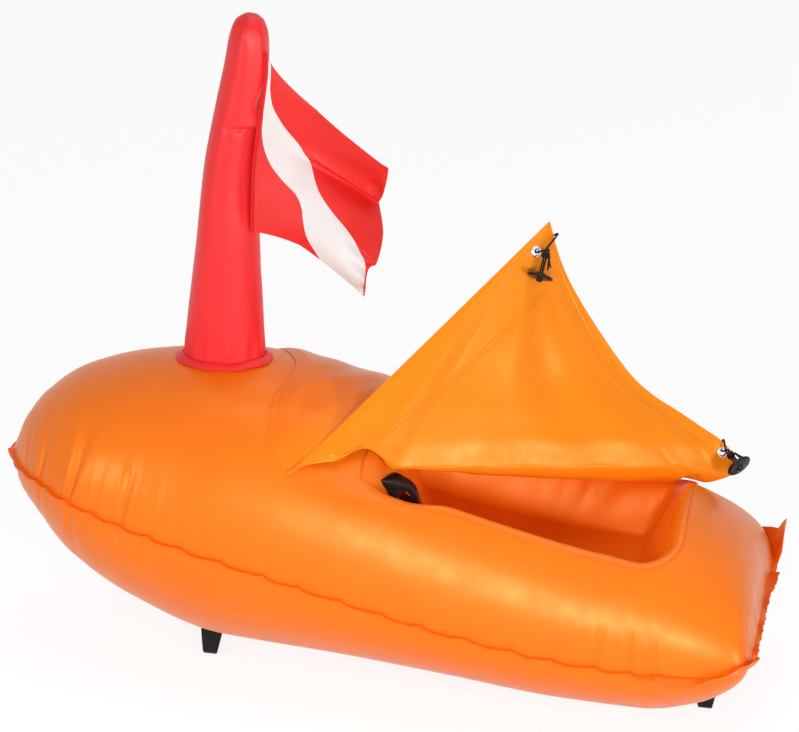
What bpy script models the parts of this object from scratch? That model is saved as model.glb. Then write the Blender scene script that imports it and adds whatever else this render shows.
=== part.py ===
"""Freediving buoy: inflated hull with a well, lifted cover, mast, flag and fittings.

Metres, +Z up. The bow points to -X, the near side is -Y, and the two tow eyes under
the keel stand on Z = 0.
"""
import math

import bpy
import numpy as np

# Hull: fraction of the length, half width, keel height, seam height, crown height
HULL_BOW_X = -0.4930
HULL_LENGTH = 0.9670
HULL_STATIONS = (
    (0.000, 0.000, 0.249, 0.249, 0.249),
    (0.012, 0.040, 0.214, 0.249, 0.290),
    (0.040, 0.088, 0.182, 0.252, 0.331),
    (0.090, 0.135, 0.133, 0.247, 0.367),
    (0.180, 0.168, 0.083, 0.232, 0.397),
    (0.300, 0.187, 0.047, 0.211, 0.413),
    (0.450, 0.194, 0.042, 0.181, 0.394),
    (0.600, 0.196, 0.034, 0.151, 0.351),
    (0.750, 0.196, 0.0215, 0.130, 0.313),
    (0.860, 0.195, 0.0190, 0.124, 0.292),
    (0.930, 0.193, 0.037, 0.128, 0.265),
    (0.970, 0.189, 0.064, 0.133, 0.236),
    (0.990, 0.182, 0.092, 0.136, 0.202),
    (1.000, 0.168, 0.137, 0.137, 0.137),
)
HULL_RINGS = 43
HULL_COLUMNS = 31

# Well in the aft half
WELL_FRONT_X = -0.060
WELL_REAR_X = 0.372
WELL_HALF_WIDTH = 0.142
WELL_CORNER_RADIUS = 0.060
WELL_WALL_WIDTH = 0.066
WELL_FLOOR_ABOVE_SEAM = 0.062
WELL_FRONT_BOW = 0.050
DECK_DIP = 0.020

# Joint between the two hull skins
SEAM_THICKNESS = 0.0014
SEAM_SIDE_WIDTH = 0.006
SEAM_STERN_WIDTH = 0.021
SEAM_RUFFLE = 0.006
SEAM_CORNER_LIFT_NEAR = 0.008
SEAM_CORNER_LIFT_FAR = 0.018
SKIN_GAP = 0.0004

# Mast: height above the ground, centre X, half width along X
MAST_Y = 0.008
MAST_STATIONS = (
    (0.430, -0.237, 0.0510),
    (0.480, -0.240, 0.0475),
    (0.549, -0.244, 0.0420),
    (0.671, -0.248, 0.0350),
    (0.764, -0.243, 0.0305),
    (0.829, -0.239, 0.0275),
    (0.860, -0.2395, 0.0245),
    (0.878, -0.240, 0.0185),
    (0.886, -0.240, 0.0105),
)
MAST_TOP_Z = 0.889
MAST_BASE_X = -0.236
MAST_BASE_RADIUS_X = 0.0520
MAST_BASE_RADIUS_Y = 0.0380
MAST_FLANGE_WIDTH = 0.0080
MAST_FLANGE_THICKNESS = 0.0016

# Flag
FLAG_THICKNESS = 0.0008
FLAG_TOP_Z = 0.844
FLAG_HOIST = 0.246
FLAG_TOP_RUN = 0.166
FLAG_TOP_DROP = 0.138
FLAG_FOOT_RUN = 0.146
FLAG_FOOT_DROP = 0.082
FLAG_FOLD = 0.024
FLAG_ROWS = 23
FLAG_COLUMNS = 14
STRIPE_EDGES = (
    (0.00, 0.012, 0.032), (0.14, 0.012, 0.036), (0.23, 0.012, 0.065), (0.32, 0.012, 0.175),
    (0.41, 0.014, 0.350), (0.48, 0.030, 0.400), (0.60, 0.110, 0.480), (0.66, 0.210, 0.620),
    (0.70, 0.325, 0.830), (0.76, 0.385, 0.945), (0.83, 0.420, 0.985), (0.90, 0.460, 0.985),
    (1.00, 0.600, 0.985),
)
STRIPE_THICKNESS = 0.001
STRIPE_GAP_NEAR = 0.0015
STRIPE_GAP_FAR = 0.0023
HOIST_TAPE_WIDTH = 0.0045
HOIST_TURN = 38.0

# Cover over the well, its near stern corner folded up and over
COVER_THICKNESS = 0.0010
COVER_LIFT = 0.0020
COVER_CLEARANCE = 0.0050
COVER_BRINK_CLEARANCE = 0.0090
COVER_LAYER_STEP = 0.0065
COVER_BOW = (-0.133, -0.154, 0.3235)
COVER_PEAK = (0.154, 0.135, 0.586)
COVER_TAIL = (0.424, 0.140, 0.284)
COVER_FAR_BOW = (-0.138, 0.158)
COVER_REAR_HOLLOW = (
    (0.00, 0.0), (0.06, 0.0), (0.10, 0.0020), (0.16, 0.0110), (0.26, 0.0246), (0.37, 0.0395),
    (0.45, 0.0430), (0.56, 0.0412), (0.70, 0.0361), (0.81, 0.0285), (0.92, 0.0142), (1.00, 0.0),
)
COVER_FOLD_HEIGHTS = (
    (0.00, 0.3235), (0.03, 0.3250), (0.06, 0.3340), (0.09, 0.3365), (0.12, 0.3350), (0.15, 0.3300),
    (0.21, 0.3235), (0.32, 0.3120), (0.50, 0.2960), (0.73, 0.2770), (0.85, 0.2690), (0.91, 0.2630),
    (0.96, 0.2610), (1.00, 0.2680),
)
COVER_ROLL_RADIUS = 0.018
COVER_BILLOW = 0.010
COVER_COLUMNS = 32
COVER_BASE_ROWS = 15
COVER_ROLL_ROWS = 8
COVER_FLAP_ROWS = 12
WELD_BAND_THICKNESS = 0.0006
WELD_GAP = 0.0009
HEM_SIDE_INSET = 0.088
HEM_SIDE_BAND = 0.008
HEM_REAR_INSET = 0.034
HEM_REAR_BAND = 0.003
WELL_RIM_GAP = 0.0009
PEAK_EYELET_ROWS = 1.15
PEAK_EYELET_COLUMN = 12.5
TAIL_EYELET_ROW = 22.6
TAIL_EYELET_COLUMN = 30.48

# Eyelets, elastic loops and toggles
EYELET_HOLE_RADIUS = 0.0036
EYELET_OUTER_RADIUS = 0.0074
EYELET_FLANGE = 0.0009
EYELET_CUT_RADIUS = 0.0050
CORD_RADIUS = 0.0013
CORD_PULL = {"peak": 0.0, "tail": 0.0016}
TOGGLE_RADIUS = 0.0172
TOGGLE_THICKNESS = 0.0055
TOGGLE_BORE_RADIUS = 0.0037
TOGGLE_KNOB_RADIUS = 0.0042

# Tow eyes
EYE_HOLE_RADIUS = 0.0080
EYE_HALF_WIDTH = 0.0180
EYE_TIP_LENGTH = 0.017
EYE_ROOT_LENGTH = 0.031
EYE_BOW_ROOT_GAP = 0.0015
EYE_STERN_ROOT_GAP = 0.0026
EYE_BOW_X = -0.220
EYE_STERN_X = 0.413
WELL_EYE_Y = -0.090
WELL_EYE_Z = 0.292
WELL_EYE_DROOP = 0.006
WELL_EYE_LENGTH = 0.034
WELL_EYE_ROOT_GAP = 0.0022
PATCH_RADIUS = 0.030
PATCH_THICKNESS = 0.0010
PATCH_GAP = 0.0006

# Inflation valves
VALVE_FLANGE_RADIUS = 0.019
VALVE_STEM_RADIUS = 0.0065
VALVE_STEM_HEIGHT = 0.009
VALVE_BORE_RADIUS = 0.0042
HULL_VALVE_X = -0.330
HULL_VALVE_Y = 0.140
MAST_VALVE_Z = 0.520


# Materials: base colour, roughness, metallic
MATERIALS = {
    "orange_pvc": ((0.93, 0.22, 0.02), 0.32, 0.0),
    "red_pvc": ((0.80, 0.03, 0.03), 0.36, 0.0),
    "flag_red": ((0.82, 0.02, 0.02), 0.42, 0.0),
    "flag_white": ((0.85, 0.84, 0.84), 0.45, 0.0),
    "black_plastic": ((0.015, 0.014, 0.014), 0.28, 0.0),
    "black_cord": ((0.02, 0.02, 0.02), 0.60, 0.0),
    "nickel": ((0.78, 0.78, 0.80), 0.25, 1.0),
}
MADE_OF = (
    ("cover_eyelet", "nickel"), ("toggle_cord", "black_cord"), ("cord_knot", "black_cord"),
    ("toggle", "black_plastic"), ("tow_eye_bow_patch", "orange_pvc"), ("tow_eye_stern_patch", "orange_pvc"),
    ("tow_eye", "black_plastic"), ("hull_valve_base", "orange_pvc"), ("hull_valve", "black_plastic"),
    ("mast_valve", "black_plastic"), ("mast", "red_pvc"), ("flag_stripe", "flag_white"), ("flag", "flag_red"),
)
ROUND = ("eyelet", "toggle", "knot", "valve", "mast", "hull")


def clear_scene():
    for item in list(bpy.data.objects):
        bpy.data.objects.remove(item, do_unlink=True)


def material_for(name):
    slot = next((slot for start, slot in MADE_OF if name.startswith(start)), "orange_pvc")
    if slot in bpy.data.materials:
        return bpy.data.materials[slot]
    colour, roughness, metallic = MATERIALS[slot]
    material = bpy.data.materials.new(slot)
    material.use_nodes = True
    shader = material.node_tree.nodes["Principled BSDF"]
    shader.inputs["Base Color"].default_value = (colour[0], colour[1], colour[2], 1.0)
    shader.inputs["Roughness"].default_value = roughness
    shader.inputs["Metallic"].default_value = metallic
    return material


def link_body(name, data):
    """Object in the scene, with its material, under the buoy's empty."""
    data.materials.append(material_for(name))
    body = bpy.data.objects.new(name, data)
    bpy.context.scene.collection.objects.link(body)
    body.parent = bpy.data.objects["buoy"]
    return body


def enclosed_volume(points, faces):
    total = 0.0
    for face in faces:
        first = points[face[0]]
        for k in range(1, len(face) - 1):
            total += float(np.dot(first, np.cross(points[face[k]], points[face[k + 1]])))
    return total / 6.0


def add_body(name, points, faces):
    """Closed body from points and faces, turned so that its faces look outwards."""
    points = [np.asarray(p, float) for p in points]
    if enclosed_volume(points, faces) < 0.0:
        faces = [tuple(face[::-1]) for face in faces]
    mesh = bpy.data.meshes.new(name)
    mesh.from_pydata([tuple(map(float, p)) for p in points], [], faces)
    mesh.validate()
    if any(word in name for word in ROUND):
        mesh.shade_smooth()
        mesh.set_sharp_from_angle(angle=math.radians(38.0))
    return link_body(name, mesh)


def smooth_step(value):
    t = min(max(value, 0.0), 1.0)
    return t * t * (3.0 - 2.0 * t)


def soft_max(a, b, width):
    h = max(width - abs(a - b), 0.0) / width
    return max(a, b) + h * h * width * 0.25


def unit(vector):
    vector = np.asarray(vector, float)
    return vector / np.linalg.norm(vector)


def smooth_table(table, column, value):
    """Monotone cubic through one column of a table whose first column rises."""
    xs = [row[0] for row in table]
    ys = [row[column] for row in table]
    if value <= xs[0]:
        return ys[0]
    if value >= xs[-1]:
        return ys[-1]
    k = max(i for i in range(len(xs) - 1) if xs[i] <= value)
    slopes = [(ys[i + 1] - ys[i]) / (xs[i + 1] - xs[i]) for i in range(len(xs) - 1)]

    def tangent(i):
        if i == 0:
            return slopes[0]
        if i == len(xs) - 1:
            return slopes[-1]
        before, after = slopes[i - 1], slopes[i]
        if before * after <= 0.0:
            return 0.0
        w1 = 2.0 * (xs[i + 1] - xs[i]) + (xs[i] - xs[i - 1])
        w2 = (xs[i + 1] - xs[i]) + 2.0 * (xs[i] - xs[i - 1])
        return (w1 + w2) / (w1 / before + w2 / after)

    step = xs[k + 1] - xs[k]
    t = (value - xs[k]) / step
    m0, m1 = tangent(k) * step, tangent(k + 1) * step
    h00 = 2 * t ** 3 - 3 * t ** 2 + 1
    h10 = t ** 3 - 2 * t ** 2 + t
    h01 = -2 * t ** 3 + 3 * t ** 2
    h11 = t ** 3 - t ** 2
    return h00 * ys[k] + h10 * m0 + h01 * ys[k + 1] + h11 * m1


def hull_section(x):
    """Half width, keel, seam and crown heights at a place along the hull."""
    k = (x - HULL_BOW_X) / HULL_LENGTH
    return [smooth_table(HULL_STATIONS, c, k) for c in (1, 2, 3, 4)]


def shell_top(x, y):
    """Upper skin as it would be with no well."""
    half, keel, seam, crown = hull_section(x)
    ratio = min(abs(y) / max(half, 1e-6), 1.0)
    return seam + (crown - seam) * math.sqrt(1.0 - ratio * ratio)


def hull_bottom(x, y):
    half, keel, seam, crown = hull_section(x)
    ratio = min(abs(y) / max(half, 1e-6), 1.0)
    return seam - (seam - keel) * math.sqrt(1.0 - ratio * ratio)


def well_depth(x, y):
    """0 outside the well, 1 over its floor."""
    ahead = 1.0 - smooth_step((x + 0.02) / 0.20)
    bow = WELL_FRONT_BOW * max(0.0, 1.0 - (y / 0.125) ** 2) * ahead
    mid = 0.5 * (WELL_FRONT_X + WELL_REAR_X)
    reach = 0.5 * (WELL_REAR_X - WELL_FRONT_X)
    qx = abs(x - bow - mid) - (reach - WELL_CORNER_RADIUS)
    qy = abs(y) - (WELL_HALF_WIDTH - WELL_CORNER_RADIUS)
    outside = math.hypot(max(qx, 0.0), max(qy, 0.0)) + min(max(qx, qy), 0.0)
    return smooth_step((WELL_CORNER_RADIUS - outside) / WELL_WALL_WIDTH)


def well_floor(x):
    return hull_section(x)[2] + WELL_FLOOR_ABOVE_SEAM


def deck_dip(x, y):
    """The deck sinks a little under the cover, ahead of the well."""
    along = smooth_step((x + 0.145) / 0.085) * (1.0 - smooth_step((x - 0.01) / 0.07))
    return DECK_DIP * along * (1.0 - smooth_step((abs(y) - 0.118) / 0.050))


def hull_top(x, y):
    top = shell_top(x, y) - deck_dip(x, y)
    return top + (well_floor(x) - top) * well_depth(x, y)


def hull_places():
    """Places along the hull, closer together towards both ends."""
    places = []
    for i in range(1, HULL_RINGS):
        t = 0.5 - 0.5 * math.cos(math.pi * i / (HULL_RINGS - 1))
        places.append(0.55 * t + 0.45 * i / (HULL_RINGS - 1))
    return [HULL_BOW_X + HULL_LENGTH * p for p in places]


def build_hull():
    columns = [math.sin(math.pi * (j / (HULL_COLUMNS - 1) - 0.5)) for j in range(HULL_COLUMNS)]
    points = [(HULL_BOW_X, 0.0, hull_section(HULL_BOW_X)[2])]
    places = hull_places()
    upper, lower = [], []
    for i, x in enumerate(places):
        half, keel, seam, crown = hull_section(x)
        last = i == len(places) - 1
        row = []
        for j, c in enumerate(columns):
            y = half * c
            z = seam if j in (0, HULL_COLUMNS - 1) or last else hull_top(x, y)
            points.append((x, y, z))
            row.append(len(points) - 1)
        upper.append(row)
        if last:
            lower.append(row)
            continue
        low = [row[0]]
        for j in range(1, HULL_COLUMNS - 1):
            y = half * columns[j]
            points.append((x, y, hull_bottom(x, y)))
            low.append(len(points) - 1)
        low.append(row[-1])
        lower.append(low)
    faces = []
    for j in range(HULL_COLUMNS - 1):
        faces.append((0, upper[0][j], upper[0][j + 1]))
        faces.append((0, lower[0][j + 1], lower[0][j]))
    for i in range(len(places) - 1):
        for j in range(HULL_COLUMNS - 1):
            faces.append((upper[i][j], upper[i + 1][j], upper[i + 1][j + 1], upper[i][j + 1]))
            faces.append((lower[i][j], lower[i][j + 1], lower[i + 1][j + 1], lower[i + 1][j]))
    return add_body("hull", points, faces)


def seam_path():
    """Seam points with outward direction, near side from bow to stern and back."""
    near = [(HULL_BOW_X, 0.0, hull_section(HULL_BOW_X)[2])]
    for x in hull_places():
        half, keel, seam, crown = hull_section(x)
        near.append((x, -half, seam))
    stern = []
    end = near[-1]
    count = 30
    for k in range(1, count):
        stern.append((end[0], end[1] * (1.0 - 2.0 * k / count), end[2]))
    far = [(p[0], -p[1], p[2]) for p in near[:0:-1]]
    return [np.array(p) for p in near + stern + far]


def build_seam_flange():
    path = seam_path()
    count = len(path)
    sections = []
    travel = 0.0
    for i, p in enumerate(path):
        before, after = path[i - 1], path[(i + 1) % count]
        along = unit((after - p) / np.linalg.norm(after - p) + (p - before) / np.linalg.norm(p - before))
        out = unit((along[1], -along[0], 0.0))
        travel += float(np.linalg.norm(p - before))
        aft = smooth_step((p[0] - 0.385) / 0.075)
        width = SEAM_SIDE_WIDTH + (SEAM_STERN_WIDTH - SEAM_SIDE_WIDTH) * aft
        width += 0.004 * aft * math.sin(travel * 2.0 * math.pi / 0.047)
        rise = SEAM_RUFFLE * aft * math.sin(travel * 2.0 * math.pi / 0.062 + 0.6) + 0.008 * aft
        corner = aft * smooth_step((abs(p[1]) - 0.09) / 0.07)
        rise += corner * (SEAM_CORNER_LIFT_FAR if p[1] > 0.0 else SEAM_CORNER_LIFT_NEAR)
        inner = p + out * SKIN_GAP
        middle = p + out * (SKIN_GAP + 0.45 * width) + np.array((0.0, 0.0, 0.30 * rise))
        outer = p + out * (SKIN_GAP + width) + np.array((0.0, 0.0, rise))
        up = np.array((0.0, 0.0, 0.5 * SEAM_THICKNESS))
        sections.append([inner - up, middle - up, outer - up, outer + up, middle + up, inner + up])
    points = [q for section in sections for q in section]
    faces = []
    n = 6
    for i in range(count):
        j = (i + 1) % count
        for k in range(n):
            m = (k + 1) % n
            faces.append((i * n + k, i * n + m, j * n + m, j * n + k))
    return add_body("hull_seam_flange", points, faces)


def sheet_solid(name, grid, thickness, closed_u=False):
    """Closed sheet of even thickness about a grid of middle points [row][column]."""
    grid = np.asarray(grid, float)
    rows, cols = grid.shape[:2]
    du = np.gradient(grid, axis=1)
    if closed_u:
        du = np.roll(grid, -1, axis=1) - np.roll(grid, 1, axis=1)
    dv = np.gradient(grid, axis=0)
    normal = np.cross(du, dv)
    length = np.linalg.norm(normal, axis=2, keepdims=True)
    normal = normal / np.maximum(length, 1e-12)
    front = grid + normal * 0.5 * thickness
    back = grid - normal * 0.5 * thickness
    points = list(front.reshape(-1, 3)) + list(back.reshape(-1, 3))
    half = rows * cols
    faces = []
    span = cols if closed_u else cols - 1
    for i in range(rows - 1):
        for j in range(span):
            k = (j + 1) % cols
            a, b, c, d = i * cols + j, i * cols + k, (i + 1) * cols + k, (i + 1) * cols + j
            faces.append((a, b, c, d))
            faces.append((half + d, half + c, half + b, half + a))
    for j in range(span):
        k = (j + 1) % cols
        faces.append((j, half + j, half + k, k))
        a, b = (rows - 1) * cols + j, (rows - 1) * cols + k
        faces.append((a, b, half + b, half + a))
    if not closed_u:
        for i in range(rows - 1):
            a, b = i * cols, (i + 1) * cols
            faces.append((a, b, half + b, half + a))
            a, b = i * cols + cols - 1, (i + 1) * cols + cols - 1
            faces.append((a, half + a, half + b, b))
    return add_body(name, points, faces)


def mast_centre(z):
    return smooth_table(MAST_STATIONS, 1, z)


def mast_radius(z):
    return smooth_table(MAST_STATIONS, 2, z)


def mast_flatness(z):
    """Depth across Y as a share of the width along X."""
    share = MAST_BASE_RADIUS_Y / MAST_BASE_RADIUS_X
    return share + (1.0 - share) * smooth_step((z - 0.42) / 0.20)


def build_mast():
    count = 24
    points = []
    rings = []
    angles = [2.0 * math.pi * k / count for k in range(count)]
    for share in (0.34, 0.67, 1.0):
        ring = []
        for a in angles:
            x = MAST_BASE_X + share * MAST_BASE_RADIUS_X * math.cos(a)
            y = MAST_Y + share * MAST_BASE_RADIUS_Y * math.sin(a)
            points.append((x, y, hull_top(x, y) + SKIN_GAP))
            ring.append(len(points) - 1)
        rings.append(ring)
    heights = [0.430, 0.452, 0.480, 0.515, 0.549, 0.590, 0.630, 0.671, 0.705, 0.735, 0.764,
               0.797, 0.829, 0.846, 0.860, 0.870, 0.878, 0.883, 0.886]
    for z in heights:
        ring = []
        for a in angles:
            x = mast_centre(z) + mast_radius(z) * math.cos(a)
            y = MAST_Y + mast_radius(z) * mast_flatness(z) * math.sin(a)
            points.append((x, y, z))
            ring.append(len(points) - 1)
        rings.append(ring)
    points.append((MAST_BASE_X, MAST_Y, hull_top(MAST_BASE_X, MAST_Y) + SKIN_GAP))
    low = len(points) - 1
    points.append((mast_centre(MAST_TOP_Z), MAST_Y, MAST_TOP_Z))
    high = len(points) - 1
    faces = []
    for k in range(count):
        m = (k + 1) % count
        faces.append((low, rings[0][m], rings[0][k]))
        faces.append((high, rings[-1][k], rings[-1][m]))
        for lower, upper in zip(rings[:-1], rings[1:]):
            faces.append((lower[k], lower[m], upper[m], upper[k]))
    return add_body("mast", points, faces)


def build_mast_flange():
    count = 32
    grid = []
    inner = 0.0010
    for share in (0.0, 0.5, 1.0):
        row = []
        for k in range(count):
            a = 2.0 * math.pi * k / count
            grow = inner + share * MAST_FLANGE_WIDTH
            x = MAST_BASE_X + (MAST_BASE_RADIUS_X + grow) * math.cos(a)
            y = MAST_Y + (MAST_BASE_RADIUS_Y + grow) * math.sin(a)
            row.append((x, y, hull_top(x, y) + SKIN_GAP + 0.5 * MAST_FLANGE_THICKNESS + 0.0002))
        grid.append(row)
    return sheet_solid("mast_base_flange", grid, MAST_FLANGE_THICKNESS, closed_u=True)


def hoist_place(v, gap):
    """Place off the mast skin on its near stern quarter."""
    z = FLAG_TOP_Z - FLAG_HOIST * v
    turn = math.radians(HOIST_TURN)
    x = mast_centre(z) + (mast_radius(z) + gap) * math.cos(turn)
    y = MAST_Y - (mast_radius(z) * mast_flatness(z) + gap) * math.sin(turn)
    return np.array((x, y, z))


def flag_hoist(v):
    return hoist_place(v, 0.0012 + HOIST_TAPE_WIDTH)


def flag_point(u, v):
    """Middle of the flag cloth: u from mast to fly edge, v from top to foot."""
    hoist = flag_hoist(v)
    run = FLAG_TOP_RUN + (FLAG_FOOT_RUN - FLAG_TOP_RUN) * v + 0.014 * math.exp(-((v - 0.62) / 0.2) ** 2)
    power = 0.72 + 0.78 * v
    drop = FLAG_TOP_DROP * (1.0 - v) + FLAG_FOOT_DROP * v
    x = hoist[0] + run * u
    z = hoist[2] - drop * u ** power
    swing = FLAG_FOLD * u ** 0.8
    wave = swing * math.sin(2.0 * math.pi * (1.18 * v - 0.30 + 0.10 * u))
    tuck = 0.012 * u ** 2 * math.exp(-((v - 0.40) / 0.07) ** 2)
    tuck += 0.009 * u ** 3 * math.exp(-((v - 0.80) / 0.06) ** 2)
    y = hoist[1] + (MAST_Y - hoist[1]) * min(1.0, 2.5 * u)
    return np.array((x - 0.5 * tuck, y + wave + tuck - 0.004 * u, z))


def flag_grid():
    rows, cols = FLAG_ROWS, FLAG_COLUMNS
    return np.array([[flag_point(j / (cols - 1), i / (rows - 1)) for j in range(cols)] for i in range(rows)])


def lifted_grid(grid, height):
    """Grid moved along its own normals."""
    normal = np.cross(np.gradient(grid, axis=1), np.gradient(grid, axis=0))
    normal /= np.maximum(np.linalg.norm(normal, axis=2, keepdims=True), 1e-12)
    return grid + normal * height


def build_flag():
    return sheet_solid("flag", flag_grid(), FLAG_THICKNESS)


def build_flag_stripe(name, side):
    rows, cols = FLAG_ROWS, 7
    lift = 0.5 * FLAG_THICKNESS + (STRIPE_GAP_FAR if side > 0.0 else STRIPE_GAP_NEAR) + 0.5 * STRIPE_THICKNESS
    lifted = lifted_grid(flag_grid(), side * lift)
    grid = []
    for i in range(rows):
        v = min(max(i / (rows - 1), 0.02), 0.98)
        left = smooth_table(STRIPE_EDGES, 1, v)
        right = smooth_table(STRIPE_EDGES, 2, v)
        row = []
        for j in range(cols):
            u = left + (right - left) * j / (cols - 1)
            row.append(grid_point(lifted, v * (FLAG_ROWS - 1), u * (FLAG_COLUMNS - 1))[0])
        grid.append(row)
    return sheet_solid(name, grid, STRIPE_THICKNESS)


def build_hoist_tape():
    rows = 15
    grid = []
    for i in range(rows):
        v = -0.01 + 1.02 * i / (rows - 1)
        grid.append([hoist_place(v, 0.0006 + HOIST_TAPE_WIDTH * t) for t in (0.0, 1.0)])
    return sheet_solid("flag_hoist_tape", grid, 0.0018)


def arc_place(y):
    """Front weld of the cover on the deck: X for a Y."""
    reach = abs(y)
    x = -0.146 - 0.028 * math.sin(math.pi * reach / 0.21) ** 2
    return x + 0.022 * max(0.0, (reach - 0.131) / 0.027) ** 2


def fold_point(s):
    """Outer line of the diagonal roll, from the bow corner to the tail corner."""
    x = COVER_BOW[0] + (COVER_TAIL[0] - COVER_BOW[0]) * s
    y = COVER_BOW[1] + (COVER_TAIL[1] - COVER_BOW[1]) * s
    z = smooth_table(COVER_FOLD_HEIGHTS, 1, s)
    return np.array((x, y, soft_max(z, hull_top(x, y) + 0.0075, 0.010)))


def cover_base_plan(w, s):
    """Flat place on the lower layer: w from the roll (0) to the far bow corner (1)."""
    y = COVER_BOW[1] + (COVER_FAR_BOW[1] - COVER_BOW[1]) * w
    bow = np.array((arc_place(y), y))
    tail = np.array(COVER_TAIL[:2]) + (np.array(COVER_FAR_BOW) - np.array(COVER_TAIL[:2])) * w
    return bow + (tail - bow) * s


def cover_base_point(w, s):
    place = cover_base_plan(w, s)
    roll = fold_point(s)[2] + 0.004
    edge = shell_top(place[0], 0.150) + 0.004
    rest = roll + (edge - roll) * w
    deck = hull_top(place[0], place[1]) + COVER_LIFT + 0.003 * smooth_step((place[0] + 0.15) / 0.06)
    return np.array((place[0], place[1], soft_max(rest if s > 0.0 else deck, deck, 0.006)))


def cover_flap_frame(w, s):
    bow = np.array(COVER_BOW) + (np.array(COVER_PEAK) - np.array(COVER_BOW)) * w
    peak, tail = np.array(COVER_PEAK), np.array(COVER_TAIL)
    inward = unit((-0.746, 0.0, -0.667))
    rear = tail + (peak - tail) * w + inward * smooth_table(COVER_REAR_HOLLOW, 1, w)
    return bow + (rear - bow) * s


def cover_column(s):
    """Middle points of the cover along one column: lower layer, roll, raised flap."""
    corner = fold_point(s)
    low_dir = unit(cover_base_point(0.30, s) - corner)
    flap_dir = unit(cover_flap_frame(0.35, s) - corner)
    opening = math.acos(max(-1.0, min(1.0, float(low_dir @ flap_dir))))
    radius = COVER_ROLL_RADIUS * (0.10 + 0.90 * math.sin(math.pi * min(1.0, s * 0.62 + 0.02)) ** 0.8)
    radius *= 1.0 - 0.45 * smooth_step((s - 0.90) / 0.10)
    inward = unit(low_dir + flap_dir)
    reach = radius / math.sin(0.5 * opening)
    knee = corner - inward * (reach - radius)
    centre = knee + inward * reach
    tangent = radius / math.tan(0.5 * opening)
    low_end, flap_end = knee + low_dir * tangent, knee + flap_dir * tangent
    column = []
    for i in range(COVER_BASE_ROWS):
        w = 0.975 * (1.0 - i / COVER_BASE_ROWS)
        fade = (1.0 - w) ** 2
        start = cover_base_point(0.0, s)
        column.append(cover_base_point(w, s) + (low_end - start) * fade)
    a, b = low_end - centre, flap_end - centre
    turn = math.acos(max(-1.0, min(1.0, float(unit(a) @ unit(b)))))
    for i in range(COVER_ROLL_ROWS):
        t = i / (COVER_ROLL_ROWS - 1)
        arm = (math.sin((1.0 - t) * turn) * a + math.sin(t * turn) * b) / math.sin(turn)
        column.append(centre + arm)
    for i in range(1, COVER_FLAP_ROWS + 1):
        w = 0.985 * i / COVER_FLAP_ROWS
        start = cover_flap_frame(0.0, s)
        billow = COVER_BILLOW * math.sin(math.pi * s) * math.sin(math.pi * w)
        point = cover_flap_frame(w, s) + (flap_end - start) * (1.0 - w) ** 1.5
        column.append(point + np.array((0.0, -billow, 0.3 * billow)))
    rest = COVER_BASE_ROWS + COVER_ROLL_ROWS
    for i, point in enumerate(column):
        climb = smooth_step((i - COVER_BASE_ROWS + 1) / COVER_ROLL_ROWS) if i < rest else 1.0
        brink = smooth_step(well_depth(point[0] + 0.045, point[1]) / 0.20)
        brink = max(brink, 0.5 * smooth_step(well_depth(point[0] - 0.030, point[1]) / 0.20))
        filled = 0.85 * deck_dip(point[0], point[1]) * (1.0 - climb)
        floor = hull_top(point[0], point[1]) + COVER_CLEARANCE + COVER_LAYER_STEP * climb
        floor += max(filled, COVER_BRINK_CLEARANCE * brink)
        point[2] = soft_max(point[2], floor, 0.004)
    return column


def cover_grid():
    columns = [cover_column(j / (COVER_COLUMNS - 1)) for j in range(COVER_COLUMNS)]
    return np.array(columns).transpose(1, 0, 2)


def grid_point(grid, row, column):
    """Point and unit normal at a fractional place of a grid."""
    rows, cols = grid.shape[:2]
    row = min(max(row, 0.0), rows - 1.001)
    column = min(max(column, 0.0), cols - 1.001)
    i, j = int(row), int(column)
    fr, fc = row - i, column - j
    p00, p01, p10, p11 = grid[i, j], grid[i, j + 1], grid[i + 1, j], grid[i + 1, j + 1]
    point = (1 - fr) * ((1 - fc) * p00 + fc * p01) + fr * ((1 - fc) * p10 + fc * p11)
    across = (1 - fr) * (p01 - p00) + fr * (p11 - p10)
    along = (1 - fc) * (p10 - p00) + fc * (p11 - p01)
    return point, unit(np.cross(across, along))


def cut_hole(body, centre, axis, radius, depth):
    bpy.ops.mesh.primitive_cylinder_add(vertices=16, radius=radius, depth=depth)
    tool = bpy.context.active_object
    tool.name = body.name + "_cutter_" + str(len(body.modifiers))
    place_along(tool, centre, axis)
    tool.hide_render = True
    tool.display_type = 'WIRE'
    cut = body.modifiers.new("hole_" + str(len(body.modifiers)), 'BOOLEAN')
    cut.operation = 'DIFFERENCE'
    cut.solver = 'EXACT'
    cut.object = tool


def axis_frame(axis):
    axis = unit(axis)
    helper = np.array((0.0, 1.0, 0.0)) if abs(axis[1]) < 0.9 else np.array((1.0, 0.0, 0.0))
    side = unit(np.cross(helper, axis))
    return side, np.cross(axis, side), axis


def place_along(body, centre, axis):
    side, other, axis = axis_frame(axis)
    from mathutils import Matrix
    matrix = Matrix.Identity(4)
    for k in range(3):
        matrix[k][0], matrix[k][1], matrix[k][2] = side[k], other[k], axis[k]
        matrix[k][3] = centre[k]
    body.matrix_world = matrix


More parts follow.
